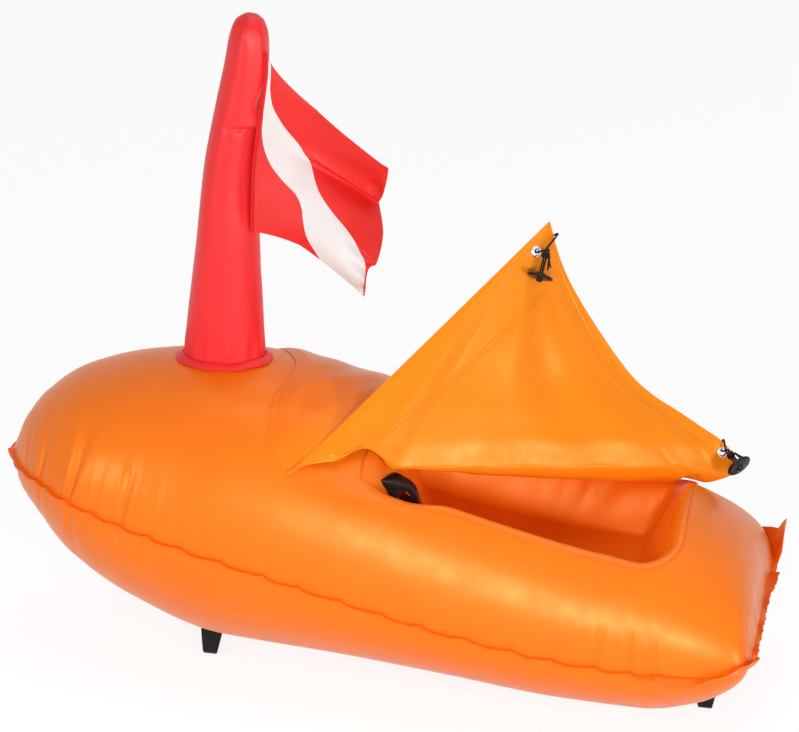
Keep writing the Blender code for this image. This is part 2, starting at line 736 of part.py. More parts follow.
def turned_body(name, profile, centre, axis, count=20):
    """Profile of (radius, height) pairs turned about an axis; ends on the axis or closed."""
    side, other, axis = axis_frame(axis)
    centre = np.asarray(centre, float)
    closed = profile[0][0] > 0.0
    points, rings = [], []
    for radius, height in profile:
        if radius == 0.0:
            points.append(centre + axis * height)
            rings.append([len(points) - 1] * count)
            continue
        ring = []
        for k in range(count):
            a = 2.0 * math.pi * k / count
            points.append(centre + axis * height + side * radius * math.cos(a) + other * radius * math.sin(a))
            ring.append(len(points) - 1)
        rings.append(ring)
    pairs = list(zip(rings[:-1], rings[1:]))
    if closed:
        pairs.append((rings[-1], rings[0]))
    faces = []
    for first, second in pairs:
        for k in range(count):
            m = (k + 1) % count
            face = []
            for v in (first[k], first[m], second[m], second[k]):
                if v not in face:
                    face.append(v)
            faces.append(tuple(face))
    return add_body(name, points, faces)


def cord(name, path, radius):
    """Round cord along a path with flat ends."""
    curve = bpy.data.curves.new(name, 'CURVE')
    curve.dimensions = '3D'
    curve.bevel_depth = radius
    curve.bevel_resolution = 2
    curve.use_fill_caps = True
    line = curve.splines.new('POLY')
    line.points.add(len(path) - 1)
    for point, place in zip(line.points, path):
        point.co = (place[0], place[1], place[2], 1.0)
    return link_body(name, curve)


def smooth_path(knots, steps=8):
    """Rounded path through the knots."""
    knots = [np.asarray(k, float) for k in knots]
    full = [2 * knots[0] - knots[1]] + knots + [2 * knots[-1] - knots[-2]]
    path = []
    for i in range(1, len(full) - 2):
        p0, p1, p2, p3 = full[i - 1:i + 3]
        for k in range(steps):
            t = k / steps
            path.append(0.5 * (2 * p1 + (p2 - p0) * t + (2 * p0 - 5 * p1 + 4 * p2 - p3) * t * t
                               + (3 * p1 - p0 - 3 * p2 + p3) * t ** 3))
    path.append(knots[-1])
    return path


def build_eyelet(name, centre, normal):
    half = 0.5 * COVER_THICKNESS + 0.0005
    barrel = EYELET_HOLE_RADIUS + 0.0008
    rim = EYELET_OUTER_RADIUS
    top = half + EYELET_FLANGE
    profile = [
        (EYELET_HOLE_RADIUS, -top + 0.0003), (EYELET_HOLE_RADIUS, top - 0.0003),
        (EYELET_HOLE_RADIUS + 0.0006, top), (rim - 0.0012, top), (rim, half + 0.0002), (rim, half),
        (barrel, half), (barrel, -half), (rim, -half), (rim, -half - 0.0002),
        (rim - 0.0012, -top), (EYELET_HOLE_RADIUS + 0.0006, -top),
    ]
    return turned_body(name, profile, centre, normal, 16)


def build_toggle(name, centre, axis):
    """Disc toggle; the axis points from the knob side to the cord side."""
    half = 0.5 * TOGGLE_THICKNESS
    profile = [
        (0.0, -0.0010), (TOGGLE_BORE_RADIUS, -0.0010), (TOGGLE_BORE_RADIUS, half + 0.0030),
        (TOGGLE_BORE_RADIUS + 0.0016, half + 0.0030), (TOGGLE_BORE_RADIUS + 0.0024, half + 0.0004),
        (TOGGLE_RADIUS - 0.0022, half - 0.0006), (TOGGLE_RADIUS - 0.0006, half - 0.0016),
        (TOGGLE_RADIUS, 0.0), (TOGGLE_RADIUS - 0.0006, -half + 0.0016),
        (TOGGLE_RADIUS - 0.0022, -half + 0.0006), (TOGGLE_KNOB_RADIUS + 0.0006, -half - 0.0002),
        (TOGGLE_KNOB_RADIUS, -half - 0.0030), (TOGGLE_KNOB_RADIUS - 0.0016, -half - 0.0042),
        (0.0, -half - 0.0045),
    ]
    return turned_body(name, profile, centre, axis)


def build_toggle_set(tag, eye, normal, over, toggle, axis, knot):
    """Eyelet, toggle, elastic loop and its knot at one free corner of the cover."""
    build_eyelet("cover_eyelet_" + tag, eye, normal)
    build_toggle("toggle_" + tag, toggle, axis)
    side = unit(np.cross(axis, normal))
    axis = unit(axis)
    gap = side * 0.0017
    bottom = toggle + axis * 0.0004
    mouth = toggle + axis * (0.5 * TOGGLE_THICKNESS + 0.0040)
    passing = [axis * h for h in (0.0078, 0.0046, 0.0015, -0.0015, -0.0046, -0.0078)]
    knots = [bottom - gap, mouth - gap] + [knot - gap + step for step in passing[::-1]]
    pull = unit(over - eye) * CORD_PULL[tag]
    knots += [
        over + normal * 0.0045, over + (over - eye) * 0.22, over - normal * 0.0045,
        0.5 * (over + eye) - normal * 0.0060, eye + pull - normal * 0.0040, eye + pull + normal * 0.0040,
    ]
    knots += [knot + gap + step for step in passing] + [mouth + gap, bottom + gap]
    cord("toggle_cord_" + tag, smooth_path(knots, 3), CORD_RADIUS)
    inner = 0.0038
    wrap = []
    for k in range(8):
        a = 2.0 * math.pi * k / 8
        wrap.append((inner + 0.0012 + 0.0012 * math.cos(a), 0.0017 * math.sin(a)))
    turned_body("cord_knot_" + tag, wrap, knot, axis, 14)


def surface_disc(name, x, y, surface, radius, thickness, gap, hole=0.0):
    """Round patch that follows the upper (+1) or lower (-1) hull skin."""
    side = 1.0 if surface is hull_top else -1.0
    count = 16
    rings = [hole] if hole else []
    rings += [radius * f for f in (0.34, 0.67, 1.0)] if not hole else [0.5 * (hole + radius), radius]

    def lift(px, py, height):
        step = 0.002
        gx = (surface(px + step, py) - surface(px - step, py)) / (2 * step)
        gy = (surface(px, py + step) - surface(px, py - step)) / (2 * step)
        normal = unit((-gx * side, -gy * side, side))
        return np.array((px, py, surface(px, py))) + normal * height

    slope_x = (surface(x + 0.01, y) - surface(x - 0.01, y)) / 0.02
    slope_y = (surface(x, y + 0.01) - surface(x, y - 0.01)) / 0.02
    sx, sy = 1.0 / math.sqrt(1 + slope_x ** 2), 1.0 / math.sqrt(1 + slope_y ** 2)
    points, layers = [], []
    for height in (gap + thickness, gap):
        layer = []
        for r in rings:
            ring = []
            for k in range(count):
                a = 2.0 * math.pi * k / count
                points.append(lift(x + r * sx * math.cos(a), y + r * sy * math.sin(a), height))
                ring.append(len(points) - 1)
            layer.append(ring)
        if not hole:
            points.append(lift(x, y, height))
            layer.append(len(points) - 1)
        layers.append(layer)
    faces = []
    top, low = layers
    span = len(rings)
    for k in range(count):
        m = (k + 1) % count
        for i in range(span - 1):
            faces.append((top[i][k], top[i + 1][k], top[i + 1][m], top[i][m]))
            faces.append((low[i][m], low[i + 1][m], low[i + 1][k], low[i][k]))
        faces.append((top[span - 1][k], low[span - 1][k], low[span - 1][m], top[span - 1][m]))
        if hole:
            faces.append((top[0][m], low[0][m], low[0][k], top[0][k]))
        else:
            faces.append((top[span], top[0][k], top[0][m]))
            faces.append((low[span], low[0][m], low[0][k]))
    return add_body(name, points, faces)


def eye_loop(count, root, tip, half_width, hole_radius):
    """Matching outer and inner loops of an eye plate as (across, height share)."""
    height = root - tip
    centre = tip + half_width * 0.92
    outer, inner = [], []
    for k in range(count):
        a = 2.0 * math.pi * (k + 0.5) / count
        c, s = math.sin(a), -math.cos(a)
        inner.append((hole_radius * c, centre + hole_radius * s))
        if s <= 0.0:
            reach = (c ** 4 + s ** 4) ** -0.25
            share = centre * (1.0 + s * reach)
            outer.append((half_width * c * reach, share if share > 0.06 * centre else tip))
        else:
            reach = max(abs(c) / half_width / 1.08, s / (root - centre))
            outer.append((c / reach, centre + s / reach))
    return outer, inner, height


def patch_underside(name, x, y):
    """Height of the lower face of a built patch."""
    hit, place, normal, face = bpy.data.objects[name].ray_cast((x, y, -1.0), (0.0, 0.0, 1.0))
    return place[2] if hit else hull_bottom(x, y) - PATCH_THICKNESS - PATCH_GAP


def build_keel_eye(name, x, gap):
    """Moulded tow eye under the keel, its hole along X, its root following its patch."""
    level = patch_underside(name + "_patch", x, 0.0) - gap
    count = 32
    outer, inner, height = eye_loop(count, 1.0, 0.0, EYE_HALF_WIDTH / 0.048, EYE_HOLE_RADIUS / 0.048)
    points, index = [], {}
    for face_side in (-1.0, 1.0):
        for kind, loop in (("o", outer), ("i", inner)):
            for k, (across, share) in enumerate(loop):
                share = min(max(share, 0.0), 1.0)
                reach = 0.5 * (EYE_TIP_LENGTH + (EYE_ROOT_LENGTH - EYE_TIP_LENGTH) * share)
                px, py = x + face_side * reach, across * 0.048
                root = patch_underside(name + "_patch", px, py) - gap
                points.append((px, py, (level + (root - level) * share ** 2) * share))
                index[(face_side, kind, k)] = len(points) - 1
    faces = []
    for k in range(count):
        m = (k + 1) % count
        lo, li = index[(-1.0, "o", k)], index[(-1.0, "i", k)]
        lo2, li2 = index[(-1.0, "o", m)], index[(-1.0, "i", m)]
        ro, ri = index[(1.0, "o", k)], index[(1.0, "i", k)]
        ro2, ri2 = index[(1.0, "o", m)], index[(1.0, "i", m)]
        faces.append((lo, lo2, li2, li))
        faces.append((ro, ri, ri2, ro2))
        faces.append((lo, ro, ro2, lo2))
        faces.append((li, li2, ri2, ri))
    return add_body(name, points, faces)


def flap_row_length(row):
    ends = [grid_point(COVER["grid"], row, c)[0] for c in (0.0, COVER_COLUMNS - 1.0)]
    return float(np.linalg.norm(ends[1] - ends[0]))


def cover_strip(name, places, thickness):
    """Thin strip on the seen face of the cover through (row, first, last) places."""
    lift = 0.5 * COVER_THICKNESS + WELD_GAP + 0.5 * thickness
    lifted = lifted_grid(COVER["grid"], COVER["face"] * lift)
    rows = []
    for row, first, last in places:
        rows.append([grid_point(lifted, row, first + (last - first) * t)[0] for t in (0.0, 0.5, 1.0)])
    return sheet_solid(name, rows, thickness)


def build_cover_welds():
    last = COVER_COLUMNS - 1.0
    base_end = COVER_BASE_ROWS - 0.5
    arc = [(base_end * k / 16, 0.10, 0.66) for k in range(17)]
    cover_strip("cover_front_weld", arc, WELD_BAND_THICKNESS)
    first_row = COVER_BASE_ROWS + COVER_ROLL_ROWS - 0.1
    rows = [first_row + (COVER_BASE_ROWS + COVER_ROLL_ROWS + COVER_FLAP_ROWS - 1.0 - first_row) * t
            for t in [k / 12 * 0.715 for k in range(13)]]
    side, rear = [], []
    for row in rows:
        step = flap_row_length(row) / last
        side.append((row, HEM_SIDE_INSET / step, (HEM_SIDE_INSET + HEM_SIDE_BAND) / step))
        rear.append((row, last - (HEM_REAR_INSET + HEM_REAR_BAND) / step, last - HEM_REAR_INSET / step))
    cover_strip("cover_hem_weld_side", side, WELD_BAND_THICKNESS)
    cover_strip("cover_hem_weld_rear", rear, WELD_BAND_THICKNESS)


def skin_height(x, y):
    """Height of the built hull's upper skin."""
    hull = bpy.data.objects["hull"]
    hit, place, normal, face = hull.ray_cast((x, y, 1.0), (0.0, 0.0, -1.0))
    return place[2] if hit else -1.0


def build_well_rim():
    """Weld line round the well, just outside its brink."""
    mid_x = 0.5 * (WELL_FRONT_X + WELL_REAR_X)
    count = 90
    grid = [[], []]
    for k in range(count):
        a = 2.0 * math.pi * k / count
        direction = (math.cos(a) * 0.23, math.sin(a) * 0.15)
        low, high = 0.3, 1.6
        for _ in range(40):
            t = 0.5 * (low + high)
            if well_depth(mid_x + direction[0] * t, direction[1] * t) > 0.004:
                low = t
            else:
                high = t
        reach = math.hypot(*direction)
        for i, offset in enumerate((0.0, 0.005)):
            t = low + (0.001 + offset) / reach
            x, y = mid_x + direction[0] * t, direction[1] * t
            skin = max(hull_top(x, y), skin_height(x, y))
            grid[i].append((x, y, skin + WELL_RIM_GAP + 0.5 * WELD_BAND_THICKNESS))
    return sheet_solid("well_rim_weld", grid, WELD_BAND_THICKNESS, closed_u=True)


def wall_skin(y, z):
    """Where the built front wall of the well lies at a height."""
    hull = bpy.data.objects["hull"]
    hit, place, normal, face = hull.ray_cast((0.12, y, z), (-1.0, 0.0, 0.0))
    return place[0]


def build_well_eye():
    """Tow eye on the front wall of the well, its hole along Y."""
    count = 32
    length = WELL_EYE_LENGTH
    outer, inner, height = eye_loop(count, 1.0, 0.0, EYE_HALF_WIDTH / length, EYE_HOLE_RADIUS / length)
    points, index = [], {}
    for face_side in (-1.0, 1.0):
        for kind, loop in (("o", outer), ("i", inner)):
            for k, (across, share) in enumerate(loop):
                share = min(max(share, 0.0), 1.0)
                reach = 0.5 * (EYE_TIP_LENGTH + (EYE_ROOT_LENGTH - EYE_TIP_LENGTH) * share)
                y = WELL_EYE_Y + face_side * reach
                z = WELL_EYE_Z + across * length - WELL_EYE_DROOP * (1.0 - share) ** 2
                root_z = WELL_EYE_Z + across * length
                level = wall_skin(WELL_EYE_Y, root_z)
                wall = level + (wall_skin(y, root_z) - level) * share ** 2
                x = wall + WELL_EYE_ROOT_GAP + length * (1.0 - share)
                points.append((x, y, z))
                index[(face_side, kind, k)] = len(points) - 1
    faces = []
    for k in range(count):
        m = (k + 1) % count
        lo, li, lo2, li2 = (index[(-1.0, c, n)] for c, n in (("o", k), ("i", k), ("o", m), ("i", m)))
        ro, ri, ro2, ri2 = (index[(1.0, c, n)] for c, n in (("o", k), ("i", k), ("o", m), ("i", m)))
        faces.append((lo, lo2, li2, li))
        faces.append((ro, ri, ri2, ro2))
        faces.append((lo, ro, ro2, lo2))
        faces.append((li, li2, ri2, ri))
    return add_body("tow_eye_well", points, faces)


def build_hull_valve():
    """Inflation valve on the far side of the bow."""
    x, y = HULL_VALVE_X, HULL_VALVE_Y
    surface_disc("hull_valve_base", x, y, hull_top, VALVE_FLANGE_RADIUS, 0.0012, 0.0006)
    step = 0.004
    slope_x = (hull_top(x + step, y) - hull_top(x - step, y)) / (2 * step)
    slope_y = (hull_top(x, y + step) - hull_top(x, y - step)) / (2 * step)
    axis = unit((-slope_x, -slope_y, 1.0))
    foot = np.array((x, y, hull_top(x, y))) + axis * 0.0023
    build_valve("hull_valve", foot, axis)


def build_mast_valve():
    z = MAST_VALVE_Z
    reach = mast_radius(z) * mast_flatness(z)
    foot = np.array((mast_centre(z), MAST_Y + reach + SKIN_GAP, z))
    build_valve("mast_valve", foot, (0.0, 1.0, 0.0))


def build_valve(name, foot, axis):
    stem, bore, height = VALVE_STEM_RADIUS, VALVE_BORE_RADIUS, VALVE_STEM_HEIGHT
    profile = [
        (0.0, 0.0), (stem + 0.0045, 0.0), (stem + 0.0045, 0.0008), (stem + 0.0008, 0.0014),
        (stem, 0.0026), (stem, height), (bore, height), (bore, 0.0030), (0.0, 0.0030),
    ]
    turned_body(name + "_stem", profile, foot, axis, 16)
    plug = [
        (0.0, 0.0036), (bore - 0.0006, 0.0036), (bore - 0.0004, height + 0.0004),
        (stem + 0.0006, height + 0.0004), (stem + 0.0010, height + 0.0014),
        (stem + 0.0004, height + 0.0032), (0.0, height + 0.0036),
    ]
    turned_body(name + "_plug", plug, foot, axis, 16)


def build_corner_sets():
    grid = COVER["grid"]
    rows = grid.shape[0]
    cover = bpy.data.objects["cover"]
    for tag, row, column, turn, drop, axis in (
        ("peak", rows - 1 - PEAK_EYELET_ROWS, PEAK_EYELET_COLUMN, (0.80, 0.0, 0.60), 0.041, (-0.25, 0.45, 0.87)),
        ("tail", TAIL_EYELET_ROW, TAIL_EYELET_COLUMN, (0.35, 0.0, 0.94), 0.026, (-0.75, 0.22, 0.61)),
    ):
        eye, normal = grid_point(grid, row, column)
        normal = normal * COVER["face"]
        cut_hole(cover, eye, normal, EYELET_CUT_RADIUS, 0.008)
        axis = unit(axis)
        edge = rear_edge_from(eye, np.array(turn), grid)
        knot = eye + normal * 0.0110 - axis * 0.0115 + (edge - eye) * 0.42
        toggle = knot - axis * drop * 0.72
        build_toggle_set(tag, eye, normal, edge, toggle, axis, knot)


def rear_edge_from(eye, turn, grid):
    """Nearest place of the rear edge from an eyelet in about a given direction."""
    edge = grid[COVER_BASE_ROWS + COVER_ROLL_ROWS:, -1]
    turn = unit(turn)
    best = max(edge, key=lambda p: float(unit(p - eye) @ turn) - 4.0 * float(np.linalg.norm(p - eye)))
    return np.array(best)


COVER = {}


def main():
    clear_scene()
    buoy = bpy.data.objects.new("buoy", None)
    bpy.context.scene.collection.objects.link(buoy)
    build_hull()
    build_seam_flange()
    build_mast()
    build_mast_flange()
    build_flag()
    build_flag_stripe("flag_stripe_near", -1.0)
    build_flag_stripe("flag_stripe_far", 1.0)
    build_hoist_tape()
    grid = cover_grid()
    COVER["grid"] = grid
    seen = grid_point(grid, COVER_BASE_ROWS + COVER_ROLL_ROWS + 5.0, 15.0)[1]
    COVER["face"] = -1.0 if seen[1] > 0.0 else 1.0
    sheet_solid("cover", grid, COVER_THICKNESS)
    build_cover_welds()
    build_well_rim()
    build_corner_sets()
    build_well_eye()
    build_hull_valve()
    build_mast_valve()
    surface_disc("tow_eye_bow_patch", EYE_BOW_X, 0.0, hull_bottom, PATCH_RADIUS, PATCH_THICKNESS, PATCH_GAP)
    surface_disc("tow_eye_stern_patch", EYE_STERN_X, 0.0, hull_bottom, PATCH_RADIUS, PATCH_THICKNESS, PATCH_GAP)
    build_keel_eye("tow_eye_bow", EYE_BOW_X, EYE_BOW_ROOT_GAP)
    build_keel_eye("tow_eye_stern", EYE_STERN_X, EYE_STERN_ROOT_GAP)


main()
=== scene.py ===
"""Looks of the inflatable freediving buoy, laid out as an add-on and run as a script.

Metres, +Z up. The bow points to -X and the near side is -Y.
"""

import math

import bpy
import numpy as np
from bpy.props import FloatProperty, FloatVectorProperty, PointerProperty
from mathutils import Matrix, Vector


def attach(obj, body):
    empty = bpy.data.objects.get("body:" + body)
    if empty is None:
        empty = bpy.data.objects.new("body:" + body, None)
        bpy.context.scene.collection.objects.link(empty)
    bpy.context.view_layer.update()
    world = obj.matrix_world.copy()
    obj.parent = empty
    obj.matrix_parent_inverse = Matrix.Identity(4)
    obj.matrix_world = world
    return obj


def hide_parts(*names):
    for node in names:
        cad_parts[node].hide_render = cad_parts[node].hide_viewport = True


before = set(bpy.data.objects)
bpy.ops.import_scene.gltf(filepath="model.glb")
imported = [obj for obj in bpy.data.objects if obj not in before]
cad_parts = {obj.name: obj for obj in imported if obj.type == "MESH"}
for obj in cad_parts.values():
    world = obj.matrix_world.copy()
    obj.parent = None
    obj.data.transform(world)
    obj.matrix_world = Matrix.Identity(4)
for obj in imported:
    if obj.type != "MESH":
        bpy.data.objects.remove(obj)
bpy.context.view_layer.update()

bl_info = {
    "name": "Freediving buoy",
    "version": (1, 0, 0),
    "blender": (4, 5, 0),
    "location": "3D View > Sidebar > Buoy",
    "description": "Builds the inflated buoy, its mast, flag, cover and fittings, and a pale studio",
    "category": "Object",
}

# Hull: fraction of the length, half width, keel height, seam height, crown height
HULL_BOW_X = -0.4930
HULL_LENGTH = 0.9670
HULL_STATIONS = (
    (0.000, 0.000, 0.249, 0.249, 0.249),
    (0.012, 0.040, 0.214, 0.249, 0.290),
    (0.040, 0.088, 0.182, 0.252, 0.331),
    (0.090, 0.135, 0.133, 0.247, 0.367),
    (0.180, 0.168, 0.083, 0.232, 0.397),
    (0.300, 0.187, 0.047, 0.211, 0.413),
    (0.450, 0.194, 0.042, 0.181, 0.394),
    (0.600, 0.196, 0.034, 0.151, 0.351),
    (0.750, 0.196, 0.0215, 0.130, 0.313),
    (0.860, 0.195, 0.0190, 0.124, 0.292),
    (0.930, 0.193, 0.037, 0.128, 0.265),
    (0.970, 0.189, 0.064, 0.133, 0.236),
    (0.990, 0.182, 0.092, 0.136, 0.202),
    (1.000, 0.168, 0.137, 0.137, 0.137),
)
SKIN_RINGS = 400
SKIN_TOP_COLUMNS = 127
SKIN_LOW_COLUMNS = 75
SKIN_GAP = 0.0004

# Well in the aft half
WELL_FRONT_X = -0.060
WELL_REAR_X = 0.372
WELL_HALF_WIDTH = 0.142
WELL_CORNER_RADIUS = 0.060
WELL_WALL_WIDTH = 0.066
WELL_FLOOR_ABOVE_SEAM = 0.062
WELL_FRONT_BOW = 0.050
# Width and height of the bead round the well
WELL_BEAD = (0.0034, 0.0016)
# Folds down the well's wall: depth, angle round the well, slant and width
WELL_FOLDS = ((0.0030, -0.62, 0.3, 0.0042), (0.0026, 0.74, 0.0, 0.0042), (0.0022, -0.50, 0.0, 0.0036))
DECK_DIP = 0.020

# Seam: places of the creases on the near side as metres along the seam from the bow,
# with depth, reach up the skin, slant and width
NEAR_CREASES = (
    (0.030, 0.0009, 0.040, 0.05, 0.0035), (0.066, 0.0010, 0.050, 0.05, 0.0040),
    (0.100, 0.0026, 0.062, 0.16, 0.0042), (0.122, 0.0006, 0.035, 0.10, 0.0035),
    (0.158, 0.0034, 0.078, 0.20, 0.0050), (0.196, 0.0009, 0.060, 0.16, 0.0048),
    (0.236, 0.0032, 0.072, 0.14, 0.0050), (0.276, 0.0012, 0.056, 0.12, 0.0050),
    (0.318, 0.0014, 0.046, 0.08, 0.0050), (0.371, 0.0011, 0.036, 0.05, 0.0050),
    (0.430, 0.0008, 0.028, 0.00, 0.0045), (0.476, 0.0007, 0.026, 0.00, 0.0045),
    (0.532, 0.0008, 0.026, 0.00, 0.0045), (0.588, 0.0006, 0.022, 0.00, 0.0045),
    (0.640, 0.0006, 0.022, 0.00, 0.0040), (0.700, 0.0007, 0.024, 0.00, 0.0040),
    (0.760, 0.0008, 0.024, 0.00, 0.0040), (0.812, 0.0008, 0.026, 0.00, 0.0040),
    (0.868, 0.0030, 0.034, 0.10, 0.0045), (0.912, 0.0026, 0.036, -0.05, 0.0042),
    (0.944, 0.0018, 0.034, -0.10, 0.0042),
)
SEAM_THICKNESS = 0.0012
SEAM_SIDE_WIDTH = 0.006
# Across the flange: share of its width and of its rise
FLANGE_SECTION = (
    (-0.14, 0.0), (0.0, 0.0), (0.22, 0.10), (0.45, 0.30), (0.68, 0.56), (0.86, 0.80), (1.0, 1.0),
)
# Width and rise of the loose flange round the stern, from the near corner to the far one
RUFFLES = (
    (-0.170, 0.0110, 0.0150), (-0.158, 0.0090, 0.0110), (-0.140, 0.0065, -0.0020), (-0.122, 0.0060, 0.0040),
    (-0.090, 0.0050, 0.0000), (-0.050, 0.0065, 0.0030), (-0.010, 0.0055, -0.0010), (0.030, 0.0060, 0.0030),
    (0.056, 0.0070, 0.0010), (0.086, 0.0105, 0.0030), (0.108, 0.0125, 0.0070), (0.126, 0.0060, 0.0000),
    (0.146, 0.0080, 0.0040), (0.157, 0.0100, 0.0160), (0.165, 0.0125, 0.0560), (0.176, 0.0070, 0.0360),
)

# Mast: height above the floor, centre X, half width along X
MAST_Y = 0.008
MAST_STATIONS = (
    (.430, -.237, .0510), (.480, -.240, .0475), (.549, -.244, .0420), (.671, -.248, .0350),
    (.764, -.243, .0305), (.829, -.239, .0275), (.860, -.2395, .0245), (.878, -.240, .0185),
    (.886, -.240, .0105),
)
MAST_TOP_Z = 0.889
MAST_BASE_X = -0.236
MAST_BASE_RADIUS_X = 0.0520
MAST_BASE_RADIUS_Y = 0.0380
MAST_FOLD_Z = 0.738
# Section of the lip at the mast's foot: outwards and upwards
MAST_RING_SECTION = (
    (0.0006, 0.0004), (0.0050, 0.0001), (0.0086, 0.0004), (0.0100, 0.0018), (0.0088, 0.0034),
    (0.0058, 0.0046), (0.0030, 0.0056), (0.0008, 0.0062),
)
# Depth of the mast's pinch, of the hollow below it and of the one above it
MAST_PINCHES = (0.0075, 0.0080, 0.0050)

# Flag
FLAG_THICKNESS = 0.0008
FLAG_TOP_Z = 0.844
FLAG_HOIST = 0.246
FLAG_TOP_RUN = 0.166
FLAG_TOP_DROP = 0.138
FLAG_FOOT_RUN = 0.146
FLAG_FOOT_DROP = 0.082
FLAG_FOLD = 0.024
FLAG_MAIN_FOLD = 0.0120
FLAG_LOW_FOLD = 0.0075
FLAG_ROWS = 133
FLAG_COLUMNS = 105
STRIPE_EDGES = (
    (0.00, 0.012, 0.032), (0.14, 0.012, 0.036), (0.23, 0.012, 0.065), (0.32, 0.012, 0.175),
    (0.41, 0.014, 0.350), (0.48, 0.030, 0.400), (0.60, 0.110, 0.480), (0.66, 0.210, 0.620),
    (0.70, 0.325, 0.830), (0.76, 0.385, 0.945), (0.83, 0.420, 0.985), (0.90, 0.460, 0.985),
    (1.00, 0.600, 0.985),
)
STRIPE_THICKNESS = 0.0002
STRIPE_GAP = 0.00035
HOIST_TAPE_WIDTH = 0.0045
HOIST_TURN = 38.0

# Cover over the well, its near stern corner folded up and over
COVER_THICKNESS = 0.0010
COVER_LIFT = 0.0020
COVER_CLEARANCE = 0.0050
COVER_BRINK_CLEARANCE = 0.0090
COVER_LAYER_STEP = 0.0065
COVER_BOW = (-0.133, -0.154, 0.3235)
COVER_PEAK = (0.154, 0.135, 0.586)
COVER_TAIL = (0.424, 0.140, 0.284)
COVER_FAR_BOW = (-0.138, 0.158)
COVER_REAR_HOLLOW = (
    (0.00, 0.0), (0.06, 0.0), (0.10, 0.0020), (0.16, 0.0110), (0.26, 0.0246), (0.37, 0.0395),
    (0.45, 0.0430), (0.56, 0.0412), (0.70, 0.0361), (0.81, 0.0285), (0.92, 0.0142), (1.00, 0.0),
)
COVER_FOLD_HEIGHTS = (
    (0.00, 0.3235), (0.03, 0.3250), (0.06, 0.3340), (0.09, 0.3365), (0.12, 0.3350), (0.15, 0.3300),
    (0.21, 0.3235), (0.32, 0.3120), (0.50, 0.2960), (0.73, 0.2770), (0.85, 0.2690), (0.91, 0.2630),
    (0.96, 0.2610), (1.00, 0.2680),
)
COVER_ROLL_RADIUS = 0.018
COVER_BILLOW = 0.010
COVER_COLUMNS = 32
COVER_BASE_ROWS = 15
COVER_ROLL_ROWS = 8
COVER_FLAP_ROWS = 12
COVER_FINER = 6
# How far up to the peak the flap's even rows reach, and its last row
COVER_FLAP_TOP = 0.985
COVER_TIP = 0.998
HEM_SIDE_INSET = 0.088
HEM_SIDE_BAND = 0.008
HEM_REAR_INSET = 0.034
PEAK_EYELET_ROWS = 1.15
PEAK_EYELET_COLUMN = 12.5
TAIL_EYELET_ROW = 22.6
TAIL_EYELET_COLUMN = 30.48
# Soft folds of the lifted flap: height, place and width across it, place and width up it
FLAP_FOLDS = (
    (0.0040, 0.46, 0.10, 0.48, 0.24), (-0.0036, 0.63, 0.09, 0.42, 0.22),
    (0.0020, 0.78, 0.07, 0.34, 0.24), (-0.0022, 0.25, 0.08, 0.40, 0.22),
)
# Width and height of the cover's weld and hem lines
FRONT_WELD = (0.0032, 0.0030)
SIDE_HEM = (0.0022, 0.0011)
REAR_HEM = (0.0024, 0.0011)

# Eyelets, elastic loops and toggles
EYELET_HOLE_RADIUS = 0.0036
EYELET_OUTER_RADIUS = 0.0074
EYELET_CUT_RADIUS = 0.0050
CORD_RADIUS = 0.0013
CORD_PULL = {"peak": 0.0, "tail": 0.0016}
TOGGLE_RADIUS = 0.0172
TOGGLE_THICKNESS = 0.0055
TOGGLE_KNOB_RADIUS = 0.0042
TOGGLE_BORE_RADIUS = 0.0037
STRAND_HALF_GAP = 0.0017
# Heights at which the strands pass the knot
THROUGH_KNOT = (0.0078, 0.0046, 0.0015, -0.0015, -0.0046, -0.0078)
# Knot's place from the eyelet: off the cover, along the toggle's axis, and share of the way to the edge
KNOT_PLACE = (0.0110, 0.0115, 0.42)
KNOT_TO_TOGGLE = 0.72
# Each free corner: way to the cover's edge that its loop goes over, drop to the toggle, toggle's axis
CORNERS = {
    "peak": ((0.86, 0.0, 0.50), 0.040, (0.14, 0.56, 0.81)),
    "tail": ((0.35, 0.0, 0.94), 0.026, (-0.66, 0.62, 0.43)),
}

# Fittings that keep the part's form: nodes, name ending, finish, slot and width of the rounded edge
FITTINGS = (
    (("tow_eye_bow", "tow_eye_stern", "tow_eye_well"), "_moulding", "moulded_black", "black_plastic", 0.0014),
    (("tow_eye_bow_patch", "tow_eye_stern_patch", "hull_valve_base"), "_film", "weld_film", "orange_pvc",
     0.0004),
    (("hull_valve_stem", "hull_valve_plug", "mast_valve_stem", "mast_valve_plug"), "_moulding",
     "moulded_black", "black_plastic", 0.0004),
)
BEVEL_FROM_ANGLE = 32.0

# Colour sockets of the mix node
MIX_SHARE, MIX_FIRST, MIX_SECOND, MIX_RESULT = 0, 6, 7, 2
HOLE_SIDES = 32
# Section of a weld line, in shares of its width and height
RIDGE_SECTION = ((-0.5, -0.2), (-0.32, 0.55), (0.0, 1.0), (0.32, 0.55), (0.5, -0.2), (0.0, -0.5))
CORNER_CUT = 0.22

# Camera of the photograph
VIEW_ELEVATION = 25.0
VIEW_AZIMUTH = 3.0
VIEW_ROLL = 5.0
METRES_PER_PIXEL = 0.00127
PHOTO_SIZE = (799, 732)
PHOTO_ORIGIN = (378.2856645, 646.80943445)
PHOTO_SHIFT = (-0.00824, 0.0, 0.03)
CAMERA_DISTANCE = 3.0

